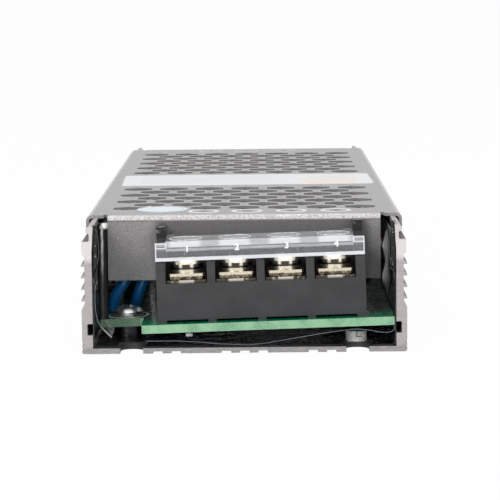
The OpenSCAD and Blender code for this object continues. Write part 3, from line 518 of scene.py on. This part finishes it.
def screw_finish(side):
    """Nickel screws: mirror tops, painted shade on the flanks with two painted glints, and painted highlight
    lines below the head.
    """
    place, ways = BLOCKS[side]
    f = Finish(f"{side}_screw_nickel", {"Metallic": 1.0})
    x, _, z = f.local(place)
    pitch = from_way(x, ways)
    cloud = f.noise(0.6, 3, 0.6)
    flank = abs(f.facing("Z")) < 0.6
    # painted glints on the flanks
    glint = f.ramp(pitch, 0.6, 1.0) * f.ramp(pitch, 2.6, 2.1)
    glint = glint * f.ramp(z, 10.1, 10.5) * f.ramp(cloud, 0.2, 0.45)
    # painted highlight lines below the head
    line = (abs(z - 9.5) < 0.1).most(abs(z - 9.92) < 0.07) * f.ramp(pitch, 1.9, 1.4)
    # painted shade: the flanks are painted dark
    dark = f.mix(cloud, rgb(52, 48, 42), rgb(96, 90, 80))
    dark = f.mix(glint.most(line * 0.9), dark, rgb(240, 234, 222))
    f.put("Base Color", f.mix(flank, f.mix(cloud, rgb(178, 170, 156), rgb(220, 212, 200)), dark))
    f.put("Roughness", 0.14 + f.noise(0.8) * 0.1)
    f.bump(f.noise(0.4), 0.01, 0.5)
    return f


def washer_finish(side):
    """Square washers: a painted highlight along the upper edge, dull and mottled below it."""
    f = Finish(f"{side}_washer_nickel", {"Metallic": 1.0})
    z = f.local(BLOCKS[side][0])[2]
    mottle = f.noise(0.6, 4, 0.7)
    # painted highlight along the upper edge of the side faces
    upper_edge_highlight = f.ramp(z + mottle * 0.4, 8.75, 8.95) * (abs(f.facing("Z")) < 0.6)
    dull = f.mix(f.ramp(mottle, 0.4, 0.6), rgb(66, 60, 50), rgb(150, 138, 116))
    f.put("Base Color", f.mix(upper_edge_highlight, dull, rgb(236, 226, 206)))
    f.put("Roughness", 0.2 + mottle * 0.16)
    f.bump(mottle, 0.05, 0.5)
    return f


def plated(name, dark, light, size=0.5, rough=0.22, spread=0.14, depth=0.01):
    """Plated metal: a little tarnish in clouds, and fine scratches."""
    f = Finish(name, {"Metallic": 1.0})
    tarnish = f.noise(size * 2, 4, 0.6)
    scratches = f.noise(1, 3, 0.7, f.place((6, 0.8, 6)))
    f.put("Base Color", f.mix(f.ramp(tarnish, 0.3, 0.7), dark, light))
    f.put("Roughness", rough + tarnish * spread)
    f.bump(scratches * 0.4, depth, 0.7)
    return f


def glossy_wire():
    f = Finish("blue_insulation", {"Coat Weight": 0.6, "Coat Roughness": 0.08})
    f.put("Base Color", f.mix(f.noise(2.5), rgb(0, 92, 150), rgb(8, 122, 196)))
    f.put("Roughness", 0.22 + f.noise(0.8) * 0.16)
    f.bump(f.noise(0.9, 3), 0.05, 0.5)
    return f


def tape_wrap():
    f = Finish("yellow_tape", {"Coat Weight": 0.5, "Coat Roughness": 0.12, "Specular IOR Level": 0.6})
    z = f.spot()[2]
    laps = f.ramp(abs((z / 3.1 + f.noise(7) * 0.3).part() - 0.5), 0.4, 0.47)
    wires = abs((z / 0.62).part() - 0.5)
    tape = f.mix(f.noise(4), rgb(168, 150, 52), rgb(206, 188, 84))
    f.put("Base Color", f.mix(laps * 0.6, tape, rgb(120, 104, 30)))
    f.put("Roughness", 0.25 + f.noise(1) * 0.15)
    f.bump(wires + laps, 0.12, 0.5)
    return f


def two_tone(name, first, second, size, rough, gloss=0.0, depth=0.02, bands=None):
    """Clouded plastic, resin or ceramic, with thin bands across an axis if they are asked for."""
    f = Finish(name, {"Coat Weight": gloss, "Coat Roughness": 0.15})
    body = f.mix(f.ramp(f.noise(size), 0.3, 0.7), first, second)
    if bands:
        axis, step, colour = bands
        place = f.spot()["XYZ".index(axis)]
        body = f.mix((abs((place / step).part() - 0.5) < 0.09) * 0.8, body, colour)
    f.put("Base Color", body)
    f.put("Roughness", rough + f.noise(size * 0.4) * 0.14)
    f.bump(f.noise(size * 0.3, 4), depth, 0.5)
    return f


EXTRUSION = extruded_aluminium()
PAINT = cover_paint()
LABEL = label_paper()
STICKER = sticker_paper()
LINER = black_liner()
FILM = clear_film()
BOARD_FINISH = circuit_board()
HIGHLIGHT_STRIP = edge_highlight_finish()
WIRE = glossy_wire()
TAPE = tape_wrap()
CAP_NICKEL = plated("cap_nickel", rgb(188, 179, 164), rgb(226, 218, 205), rough=0.18, spread=0.1)
ZINC = plated(
    "bright_zinc", rgb(186, 187, 188), rgb(214, 214, 213), size=1.5, rough=0.24, spread=0.06, depth=0.003)
POST = two_tone("turned_aluminium", rgb(196, 194, 191), rgb(216, 214, 211), 1.2, 0.5, depth=0.008)
CREASE = creased_liner()
LOBE = lobed_liner()
CUT_EDGE = cut_liner()
DARK_PLATE = plated("dark_plate", rgb(60, 60, 64), rgb(92, 92, 96), rough=0.32)
SPRING_STEEL = plated("spring_steel", rgb(130, 130, 134), rgb(186, 186, 188))
MILL = plated("mill_aluminium", rgb(168, 168, 172), rgb(206, 206, 208), size=3, rough=0.34)
CAN_TOP = plated("can_top", rgb(178, 178, 180), rgb(222, 222, 222), size=1.5, rough=0.24)
SOLDER = plated("solder", rgb(150, 150, 154), rgb(210, 210, 212), size=0.8, rough=0.26)
ENAMEL = plated("enamelled_copper", rgb(150, 72, 30), rgb(204, 116, 58), size=1.2, rough=0.2)
SLEEVE = two_tone("can_sleeve", rgb(14, 18, 34), rgb(30, 34, 56), 3, 0.22, gloss=0.5)
FERRITE = two_tone("ferrite", rgb(20, 25, 25), rgb(34, 41, 41), 1.5, 0.5, depth=0.05)
BOBBIN = two_tone("bobbin_plastic", rgb(16, 16, 17), rgb(30, 30, 31), 2, 0.38)
POWDER_CORE = two_tone("painted_core", rgb(60, 84, 56), rgb(86, 108, 74), 1.2, 0.42)
YELLOW_BOX = two_tone("yellow_box", rgb(196, 152, 30), rgb(222, 178, 52), 3, 0.28, gloss=0.3)
BLUE_DIP = two_tone("blue_dip", rgb(12, 60, 136), rgb(24, 84, 170), 2, 0.24, gloss=0.4, depth=0.06)
BLACK_RESIN = two_tone("black_resin", rgb(20, 20, 21), rgb(38, 38, 39), 1.5, 0.46)
FUSE_TUBE = two_tone(
    "fuse_ceramic", rgb(206, 198, 182), rgb(228, 222, 208), 2, 0.3, bands=("X", 10, rgb(120, 112, 100)))
GREEN_DIP = two_tone("green_dip", rgb(20, 48, 30), rgb(36, 70, 44), 2, 0.36, gloss=0.2, depth=0.05)
OPTO = two_tone("white_resin", rgb(206, 206, 200), rgb(230, 230, 224), 1.2, 0.36)
INK = two_tone("white_ink", rgb(226, 226, 226), rgb(242, 242, 242), 0.8, 0.5, depth=0.004)
GREY_INK = two_tone("grey_ink", rgb(96, 96, 100), rgb(120, 120, 124), 0.8, 0.5, depth=0.004)

FINISHES = {
    EXTRUSION: ["base_extrusion"],
    PAINT: ["top_cover"],
    LABEL: ["rating_label"],
    STICKER: ["round_sticker"],
    LINER: ["insulation_liner"],
    FILM: ["clear_film"],
    BOARD_FINISH: ["main_board", "control_board"],
    DARK_PLATE: ["board_standoffs"],
    ZINC: ["board_screws"],
    POST: ["floor_posts"],
    WIRE: ["blue_wires"],
    FERRITE: ["transformer_core", "boost_inductor_core", "choke_core"],
    BOBBIN: ["transformer_bobbin"],
    TAPE: ["transformer_winding", "boost_inductor_winding"],
    SLEEVE: ["bulk_capacitors", "output_capacitors"],
    ENAMEL: ["choke_windings", "output_inductor_winding"],
    POWDER_CORE: ["output_inductor_core"],
    YELLOW_BOX: ["filter_capacitor"],
    BLUE_DIP: ["safety_capacitors", "surge_varistor"],
    BLACK_RESIN: ["bridge_rectifier", "power_transistors", "control_chips"],
    FUSE_TUBE: ["fuse"],
    GREEN_DIP: ["inrush_thermistor"],
    MILL: ["heat_brackets"],
    SPRING_STEEL: ["transistor_clips"],
    OPTO: ["optocouplers"],
}
for side, (_, ways) in BLOCKS.items():
    FINISHES[charcoal_plastic(side)] = [f"{side}_terminal_block"]
    FINISHES[clear_moulding(side)] = [f"{side}_lid"]
    FINISHES[plate_finish(side)] = [f"{side}_terminal_plates"]
    FINISHES[screw_finish(side)] = [f"{side}_screw_{k}" for k in range(1, ways + 1)]
    FINISHES[washer_finish(side)] = [f"{side}_washer_{k}" for k in range(1, ways + 1)]
for finish, names in FINISHES.items():
    for name in names:
        slots = nodes[name].material_slots
        for slot in slots:
            slot.material = finish.material


# ---- Making pieces ----

def piece(name, bm, finish, place=scale, body="root", replaces=()):
    """Turns a mesh drawn in millimetres into a piece of the model."""
    bmesh.ops.recalc_face_normals(bm, faces=bm.faces)
    mesh = bpy.data.meshes.new(name)
    bm.to_mesh(mesh)
    bm.free()
    mesh.transform(place)
    return link(name, mesh, finish, body, replaces)


def link(name, data, finish, body="root", replaces=()):
    made = bpy.data.objects.new(name, data)
    data.materials.append(finish.material)
    bpy.context.scene.collection.objects.link(made)
    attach(made, body)
    if replaces:
        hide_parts(*replaces)
    return made


def round_edges(bm, edges, width):
    bmesh.ops.bevel(
        bm, geom=list(edges), offset=width, affect="EDGES", segments=2, profile=0.5, material=-1)


def add_box(bm, low, high, bevel=0.0):
    low, high = Vector(low), Vector(high)
    size = high - low
    place = Matrix.Translation((low + high) / 2) @ Matrix.Diagonal((*size, 1))
    made = bmesh.ops.create_cube(bm, size=1, matrix=place)["verts"]
    if bevel:
        round_edges(bm, {e for v in made for e in v.link_edges}, bevel)


def add_ring(bm, centre, inner, outer, height, sides=48):
    """Flat ring standing on its centre's height."""
    loops = []
    for radius in (inner, outer):
        verts = bmesh.ops.create_circle(
            bm, segments=sides, radius=radius, matrix=Matrix.Translation(centre))["verts"]
        loops += list({e for v in verts for e in v.link_edges})
    faces = bmesh.ops.bridge_loops(bm, edges=loops)["faces"]
    raised = bmesh.ops.extrude_face_region(bm, geom=faces)["geom"]
    top = [v for v in raised if isinstance(v, bmesh.types.BMVert)]
    bmesh.ops.translate(bm, vec=(0, 0, height), verts=top)


def add_disc(bm, centre, radius, height, top=None, sides=32):
    place = Matrix.Translation(Vector(centre) + Vector((0, 0, height / 2)))
    bmesh.ops.create_cone(
        bm, cap_ends=True, segments=sides, radius1=radius, radius2=radius if top is None else top,
        depth=height, matrix=place)


def drawn_mesh(data):
    """Turns a curve or a text into a mesh, and removes it."""
    drawn = bpy.data.objects.new(data.name, data)
    bpy.context.scene.collection.objects.link(drawn)
    bpy.context.view_layer.update()
    mesh = bpy.data.meshes.new_from_object(drawn.evaluated_get(bpy.context.evaluated_depsgraph_get()))
    bpy.data.objects.remove(drawn)
    bpy.data.curves.remove(data)
    return mesh


def tubes(name, paths, radius, finish, place, cyclic=False, sides=4, replaces=()):
    """Smooth round tubes through lists of points in millimetres."""
    curve = bpy.data.curves.new(name, "CURVE")
    curve.dimensions = "3D"
    curve.bevel_depth = radius
    curve.bevel_resolution = sides
    curve.use_fill_caps = True
    for path in paths:
        spline = curve.splines.new("BEZIER")
        spline.resolution_u = 5
        spline.bezier_points.add(len(path) - 1)
        spline.use_cyclic_u = cyclic
        for point, spot in zip(spline.bezier_points, path):
            point.co = spot
            point.handle_left_type = point.handle_right_type = "AUTO"
    mesh = drawn_mesh(curve)
    mesh.transform(place)
    mesh.shade_smooth()
    return link(name, mesh, finish, replaces=replaces)


def solid_boxes(node, place=BOARD):
    """Lowest and highest corners of each loose solid of a node, in the millimetres of a place."""
    bm = bmesh.new()
    bm.from_mesh(nodes[node].data)
    bmesh.ops.transform(bm, matrix=place.inverted(), verts=bm.verts)
    bmesh.ops.remove_doubles(bm, verts=bm.verts, dist=0.001)
    left = set(bm.verts)
    boxes = []
    while left:
        island, edge = set(), {left.pop()}
        while edge:
            island |= edge
            edge = {e.other_vert(v) for v in edge for e in v.link_edges} - island
        left -= island
        spots = [v.co for v in island]
        low = Vector(min(s[i] for s in spots) for i in range(3))
        high = Vector(max(s[i] for s in spots) for i in range(3))
        boxes.append((low, high))
    bm.free()
    return sorted(boxes, key=lambda b: (round(b[0].y, 1), round(b[0].x, 1)))


# ---- Prints on the cover ----

PRINT_T = 0.03


def cover_prints():
    """Four ring marks at the output end with polarity signs, and three at the input end."""
    ring_y = COVER_FRONT + 7.0
    rings = bmesh.new()
    signs = bmesh.new()
    for i, x in enumerate((-8.05, 0.6, 9.4, 18.2)):
        add_ring(rings, (x, ring_y, COVER_TOP), 2.3, 3.15, PRINT_T)
        add_box(signs, (x - 0.9, ring_y - 0.3, COVER_TOP), (x + 0.9, ring_y + 0.3, COVER_TOP + PRINT_T))
        if i > 1:
            for s in (-1, 1):
                low = (x - 0.3, ring_y + (0.3 if s > 0 else -0.9), COVER_TOP)
                high = (x + 0.3, ring_y + (0.9 if s > 0 else -0.3), COVER_TOP + PRINT_T)
                add_box(signs, low, high)
    back_y = COVER_BACK - 7.0
    for x in (-PITCH, 0, PITCH):
        add_ring(rings, (x, back_y, COVER_TOP), 2.9, 3.15, PRINT_T)
        add_disc(signs, (x, back_y, COVER_TOP), 0.45, PRINT_T, sides=20)
    piece("printed_rings", rings, INK)
    piece("printed_signs", signs, GREY_INK)


# ---- Sheets at the output end ----

def curled_strip(centre, radius, start, sweep, low, high, thick=0.12):
    """Upright sheet bent round a vertical line, from one angle of the plan to another."""
    bm = bmesh.new()
    rise = (high - low) / 12
    first = [bm.verts.new((centre[0] + radius * cos(start), centre[1] + radius * sin(start), low + rise * k))
             for k in range(13)]
    line = [bm.edges.new(pair) for pair in zip(first[:-1], first[1:])]
    bmesh.ops.spin(bm, geom=first + line, cent=(*centre, 0), axis=(0, 0, 1), angle=sweep, steps=12)
    bmesh.ops.solidify(bm, geom=bm.faces[:], thickness=thick)
    return bm


def pinch(bm, waist, width, keep, centre_x):
    """Narrows a strip towards one line where it passes a height."""
    for v in bm.verts:
        near = max(0, 1 - abs(v.co.z - waist) / width)
        v.co.x = centre_x + (v.co.x - centre_x) * (1 - (1 - keep) * near)


def liner_folds():
    """The liner's rolled edges beside the cover's flange, and its ragged cut edges at both walls."""
    front = -CASE_L / 2 + 1.5
    wall_x = 28.8
    fold = curled_strip((-26.9, front + 0.4), 0.9, radians(185), radians(170), 6.5, 25)
    piece("left_liner_fold", fold, CREASE)
    lobes = curled_strip((27.35, front + 0.5), 0.9, radians(190), radians(160), 10.8, 23)
    for waist in (23, 17.3, 10.8):
        pinch(lobes, waist, 3, 0.3, 27.3)
    piece("right_liner_fold", lobes, LOBE)
    edges = bmesh.new()
    add_box(edges, (-28.75, front - 0.5, 12.5), (-27.95, front - 0.35, 24.6), 0.04)
    add_box(edges, (27.95, front - 0.5, 15.7), (wall_x, front - 0.35, 24.95), 0.04)
    piece("liner_cut_edges", edges, CUT_EDGE)
    # painted highlight: a thin strip along the film's edge at the right wall
    film = bmesh.new()
    add_box(film, (wall_x - 0.04, front - 0.5, 6.6), (wall_x + 0.05, front - 0.4, 14.4), 0.02)
    piece("film_wall_edge", film, HIGHLIGHT_STRIP)


# ---- Terminals ----

NUMERAL_Z = 13.65


def lid_numerals():
    """White numerals on the front of each lid's lip."""
    for side, (place, ways) in BLOCKS.items():
        meshes = bmesh.new()
        for i in range(ways):
            text = bpy.data.curves.new("numeral", "FONT")
            text.body = str(i + 1)
            text.size = 1.65
            text.offset = 0.07
            text.extrude = 0.03
            text.align_x = "CENTER"
            mesh = drawn_mesh(text)
            spot = Matrix.Translation((screw_x(ways, i) + 0.4, FACE_Y - 0.04, NUMERAL_Z))
            mesh.transform(spot @ Matrix.Rotation(pi / 2, 4, "X"))
            meshes.from_mesh(mesh)
            bpy.data.meshes.remove(mesh)
        piece(f"{side}_numerals", meshes, INK, place, f"{side}_lid")


def lid_edges():
    """Rims on the screwdriver collars, finished as painted highlights."""
    for side, (place, ways) in BLOCKS.items():
        rims = bmesh.new()
        for i in range(ways):
            add_ring(rims, (screw_x(ways, i), SCREW_Y, LID_TOP + 0.06), 2.96, 3.2, 0.12)
        piece(f"{side}_collar_rims", rims, HIGHLIGHT_STRIP, place, f"{side}_lid")


def solder_joints():
    """Solder cones round the terminal pins, under the board."""
    for side, (place, ways) in BLOCKS.items():
        bm = bmesh.new()
        for i in range(ways):
            spot = (screw_x(ways, i), PIN_Y, -BOARD_T - 0.6)
            add_disc(bm, spot, 0.75, 0.6, top=1.5, sides=20)
        if side == "output":
            add_box(bm, (PIN_TIP - 0.15, 1.85, -BOARD_T - 0.5), (PIN_TIP + 0.15, 2.15, -BOARD_T))
            add_box(bm, (PIN_TIP - 0.65, 1.6, -BOARD_T - 1.1), (PIN_TIP + 0.65, 2.4, -BOARD_T - 0.4), 0.1)
        piece(f"{side}_solder", bm, SOLDER, place)


# ---- Leads, windings and small parts inside ----

TURN_R = 0.4
CAP_L = 5
WIRE_R = 1.15
WIRE_ROUTES = [
    [(-26, 19, 5.4), (-26, 18.6, 6.8), (-25.6, 18, 8.4), (-24.6, 17.4, 10.3), (-23.4, 17, 12.2),
     (-22, 17.4, 14.6), (-20.6, 18.8, 16.8), (-19.4, 21.5, 18.4), (-18.6, 25.5, 19.4), (-18, 31, 20),
     (-17.2, 37, 20.4), (-16.2, 43, 20.6), (-15.2, 49, 20.6), (-14.4, 55, 20.6), (-13.8, 61, 20.7),
     (-13.6, 66, 21), (-13.6, 70, 21.1), (-13.6, 73, 21.1)],
    [(-21.6, 19.5, 5.5), (-21.6, 19.2, 6.8), (-21.3, 18.6, 8.4), (-20.7, 18, 10.2), (-19.8, 17.6, 12.2),
     (-18.8, 18.2, 14.4), (-17.6, 19.8, 16.4), (-16.4, 22.8, 17.8), (-15.5, 27, 18.8), (-14.8, 32, 19.5),
     (-13.8, 38, 20), (-12.6, 44, 20.3), (-11.4, 50, 20.5), (-10.6, 56, 20.6), (-10.2, 61, 20.8),
     (-10.2, 66, 21), (-10.2, 70, 21.1), (-10.2, 73, 21.1)],
]


def blue_leads():
    from_front = scale @ Matrix.Translation((0, -CASE_L / 2, 0))
    tubes("blue_leads", WIRE_ROUTES, WIRE_R * 0.98, WIRE, from_front, sides=6,
          replaces=("blue_wires",))


def can_tops():
    """Bare aluminium tops with a pressed cross, inside the rim of each sleeve."""
    tops = bmesh.new()
    for node in ("bulk_capacitors", "output_capacitors"):
        for low, high in solid_boxes(node):
            middle = (low + high) / 2
            radius = (high.x - low.x) / 2
            add_disc(tops, (middle.x, middle.y, high.z - 0.02), radius - 1.1, 0.06, top=radius - 1.2)
            for turn in (0, 1):
                half = Vector((radius * 0.62, 0.14, 0)) if turn == 0 else Vector((0.14, radius * 0.62, 0))
                centre = Vector((middle.x, middle.y, high.z + 0.04))
                add_box(tops, centre - half, centre + half + Vector((0, 0, 0.05)))
    piece("can_tops", tops, CAN_TOP, BOARD)


def rounded_loop(width, height, corner):
    """Points of a rounded rectangle in a plane, as pairs from its middle."""
    points = []
    for quarter, (sx, sy) in enumerate(((1, 1), (-1, 1), (-1, -1), (1, -1))):
        for k in range(3):
            angle = pi / 2 * (quarter + k / 2)
            points.append((sx * (width / 2 - corner) + corner * cos(angle),
                           sy * (height / 2 - corner) + corner * sin(angle)))
    return points


def inductor_turns():
    """Copper turns round the toroid and on the two limbs of the choke."""
    low, high = solid_boxes("output_inductor_winding")[0]
    middle = (low + high) / 2
    outer = (high.x - low.x) / 2 if high.x - low.x > high.y - low.y else (high.y - low.y) / 2
    section = rounded_loop(6.3, 8.2, 1.4)
    turns = 26
    paths = []
    for i in range(turns):
        angle = radians(20 + 320 * (i + 0.5) / turns)
        ray = Vector((cos(angle), sin(angle), 0))
        centre = Vector((middle.x, middle.y, 0)) + ray * (outer - 3.7)
        paths.append([centre + ray * u + Vector((0, 0, 4.75 + v)) for u, v in section])
    tubes("toroid_turns", paths, TURN_R, ENAMEL, BOARD, cyclic=True, sides=1,
          replaces=("output_inductor_winding",))
    paths = []
    for low, high in solid_boxes("choke_windings"):
        middle = (low + high) / 2
        section = rounded_loop(high.y - low.y - 0.9, high.z - low.z - 0.9, 1.2)
        count = int((high.x - low.x) / 0.82)
        for i in range(count):
            x = low.x + (i + 0.5) * (high.x - low.x) / count
            paths.append([Vector((x, middle.y + u, middle.z + v)) for u, v in section])
    tubes("choke_turns", paths, TURN_R, ENAMEL, BOARD, cyclic=True, sides=1,
          replaces=("choke_windings",))


def component_leads():
    """Flat and round legs that carry the standing parts down to the board."""
    bm = bmesh.new()
    for node in ("power_transistors", "bridge_rectifier"):
        for low, high in solid_boxes(node):
            along_y = high.y - low.y > high.x - low.x
            middle = (low + high) / 2
            legs = 3 if node == "power_transistors" else 4
            step = 2.54 if legs == 3 else 3.8
            for i in range(legs):
                shift = (i - (legs - 1) / 2) * step
                x = middle.x if along_y else middle.x + shift
                y = middle.y + shift if along_y else middle.y
                add_box(bm, (x - 0.3, y - 0.35, 0), (x + 0.3, y + 0.35, low.z + 0.5))
    for node in ("surge_varistor", "inrush_thermistor", "safety_capacitors"):
        for low, high in solid_boxes(node):
            middle = (low + high) / 2
            wide = high.x - low.x > high.y - low.y
            for s in (-1, 1):
                x = middle.x + (s * 2.5 if wide else 0)
                y = middle.y + (0 if wide else s * 2.5)
                add_disc(bm, (x, y, 0), 0.35, low.z + 1.2, sides=10)
    piece("component_leads", bm, SOLDER, BOARD)


def fuse_caps():
    """Rounded metal caps over both ends of the fuse."""
    low, high = solid_boxes("fuse")[0]
    radius = (high.z - low.z) / 2 + 0.12
    caps = bmesh.new()
    for x in (low.x - 0.05, high.x - CAP_L + 0.05):
        middle = Matrix.Translation((x + CAP_L / 2, (low.y + high.y) / 2, (low.z + high.z) / 2))
        made = bmesh.ops.create_cone(
            caps, cap_ends=True, segments=32, radius1=radius, radius2=radius, depth=CAP_L,
            matrix=middle @ Matrix.Rotation(pi / 2, 4, "Y"))
        rims = {e for v in made["verts"] for e in v.link_edges if len(e.link_faces) == 2
                and any(len(f.verts) > 4 for f in e.link_faces)}
        round_edges(caps, rims, 0.3)
    piece("fuse_caps", caps, CAP_NICKEL, BOARD)


def board_print():
    """White rings round the board screws and outlines of the larger parts, printed on the board."""
    bm = bmesh.new()
    for low, high in solid_boxes("board_screws"):
        middle = (low + high) / 2
        if middle.x < 0:
            add_ring(bm, (middle.x, middle.y, 0), 3.72, 4.06, PRINT_T)
    line = 0.2
    for node in ("bulk_capacitors", "output_capacitors"):
        for low, high in solid_boxes(node):
            middle = (low + high) / 2
            radius = (high.x - low.x) / 2 + 0.05
            add_ring(bm, (middle.x, middle.y, 0), radius, radius + line, PRINT_T)
    for node in ("filter_capacitor", "bridge_rectifier", "surge_varistor", "inrush_thermistor", "choke_core"):
        for low, high in solid_boxes(node):
            x0, x1, y0, y1 = low.x - 0.6, high.x + 0.6, low.y - 0.6, high.y + 0.6
            sides = (
                ((x0, y0), (x1, y0 + line)),
                ((x0, y1 - line), (x1, y1)),
                ((x0, y0 + line), (x0 + line, y1 - line)),
                ((x1 - line, y0 + line), (x1, y1 - line)),
            )
            for a, b in sides:
                add_box(bm, (*a, 0), (*b, PRINT_T))
    piece("board_print", bm, INK, BOARD)


cover_prints()
liner_folds()
lid_numerals()
lid_edges()
solder_joints()
blue_leads()
can_tops()
inductor_turns()
component_leads()
fuse_caps()
board_print()


# ---- Studio ----

def background_ray(f):
    """Masks of the camera's rays, straight or through clear plastic, and of mirrored rays."""
    path = f.node("ShaderNodeLightPath").socket.node
    camera_ray, glossy, clear = (
        Flow(f, path.outputs[name]) for name in ("Is Camera Ray", "Is Glossy Ray", "Is Transmission Ray"))
    straight = camera_ray.most(clear)
    return straight, glossy * (1 - straight)


floor_mesh = bmesh.new()
bmesh.ops.create_grid(floor_mesh, x_segments=1, y_segments=1, size=6)
floor_data = bpy.data.meshes.new("floor")
floor_mesh.to_mesh(floor_data)
floor_mesh.free()
floor_finish = Finish("pale_floor", {"Roughness": 0.9, "Specular IOR Level": 0.1})
pale = floor_finish.mix(floor_finish.noise(300), (0.88, 0.88, 0.88, 1), (0.92, 0.92, 0.92, 1))
floor_finish.put("Base Color", pale)
glow = floor_finish.node("ShaderNodeEmission", sockets={"Color": (1, 1, 1, 1), "Strength": 1.0})
straight_ray, mirrored_ray = background_ray(floor_finish)
ground = floor_finish.axes(floor_finish.place())
dark_floor = floor_finish.ramp(ground[1], -0.098, -0.13) * floor_finish.ramp(ground[0], -0.15, -0.02)
blend = floor_finish.node("ShaderNodeMixShader", sockets={
    0: straight_ray * 0.97 + mirrored_ray * 0.9 * (1 - dark_floor),
    1: Flow(floor_finish, floor_finish.shader.outputs[0]),
    2: glow,
})
output = floor_finish.tree.nodes["Material Output"]
floor_finish.tree.links.new(blend.socket, output.inputs["Surface"])
floor_data.materials.append(floor_finish.material)
floor = bpy.data.objects.new("floor", floor_data)
floor.location.z = -0.0002
bpy.context.scene.collection.objects.link(floor)


class Surroundings(Finish):
    """The world's shader, made with the same node maker."""

    def __init__(self):
        world = bpy.data.worlds.new("studio")
        bpy.context.scene.world = world
        world.use_nodes = True
        self.tree = world.node_tree
        self.shader = self.tree.nodes["Background"]


AMBIENT = 0.36
MIDDLE = Vector((0, -0.05, 0.01))
studio = Surroundings()
studio.shader.inputs["Color"].default_value = (1, 1, 1, 1)
way = studio.axes(studio.node("ShaderNodeTexCoord", out="Generated"))
bright_bands = studio.ramp(abs(way[0]), 0.36, 0.5) * studio.ramp(abs(way[0]), 0.9, 0.8)
dark_front = studio.ramp(way[1], 0.0, -0.5) * studio.ramp(way[2], 0.7, 0.3) * (1 - bright_bands)
white_ray, mirror_ray = background_ray(studio)
studio.put("Strength", AMBIENT + white_ray * (1 - AMBIENT) + mirror_ray * (1 - AMBIENT - dark_front * 0.9))


def softbox(name, spot, size, power):
    """Square soft light that faces the middle of the part."""
    lamp = bpy.data.lights.new(name, "AREA")
    lamp.shape = "RECTANGLE"
    lamp.size = lamp.size_y = size
    lamp.energy = power
    made = bpy.data.objects.new(name, lamp)
    spot = Vector(spot)
    turn = (MIDDLE - spot).to_track_quat("-Z", "Y").to_matrix().to_4x4()
    made.matrix_world = Matrix.Translation(spot) @ turn
    bpy.context.scene.collection.objects.link(made)


softbox("left_softbox", (-0.4, -0.85, 0.4), 0.4, 4.4)
softbox("right_softbox", (0.45, -0.8, 0.4), 0.4, 2.8)
softbox("top_softbox", (0, 0.1, 0.9), 0.8, 2.95)
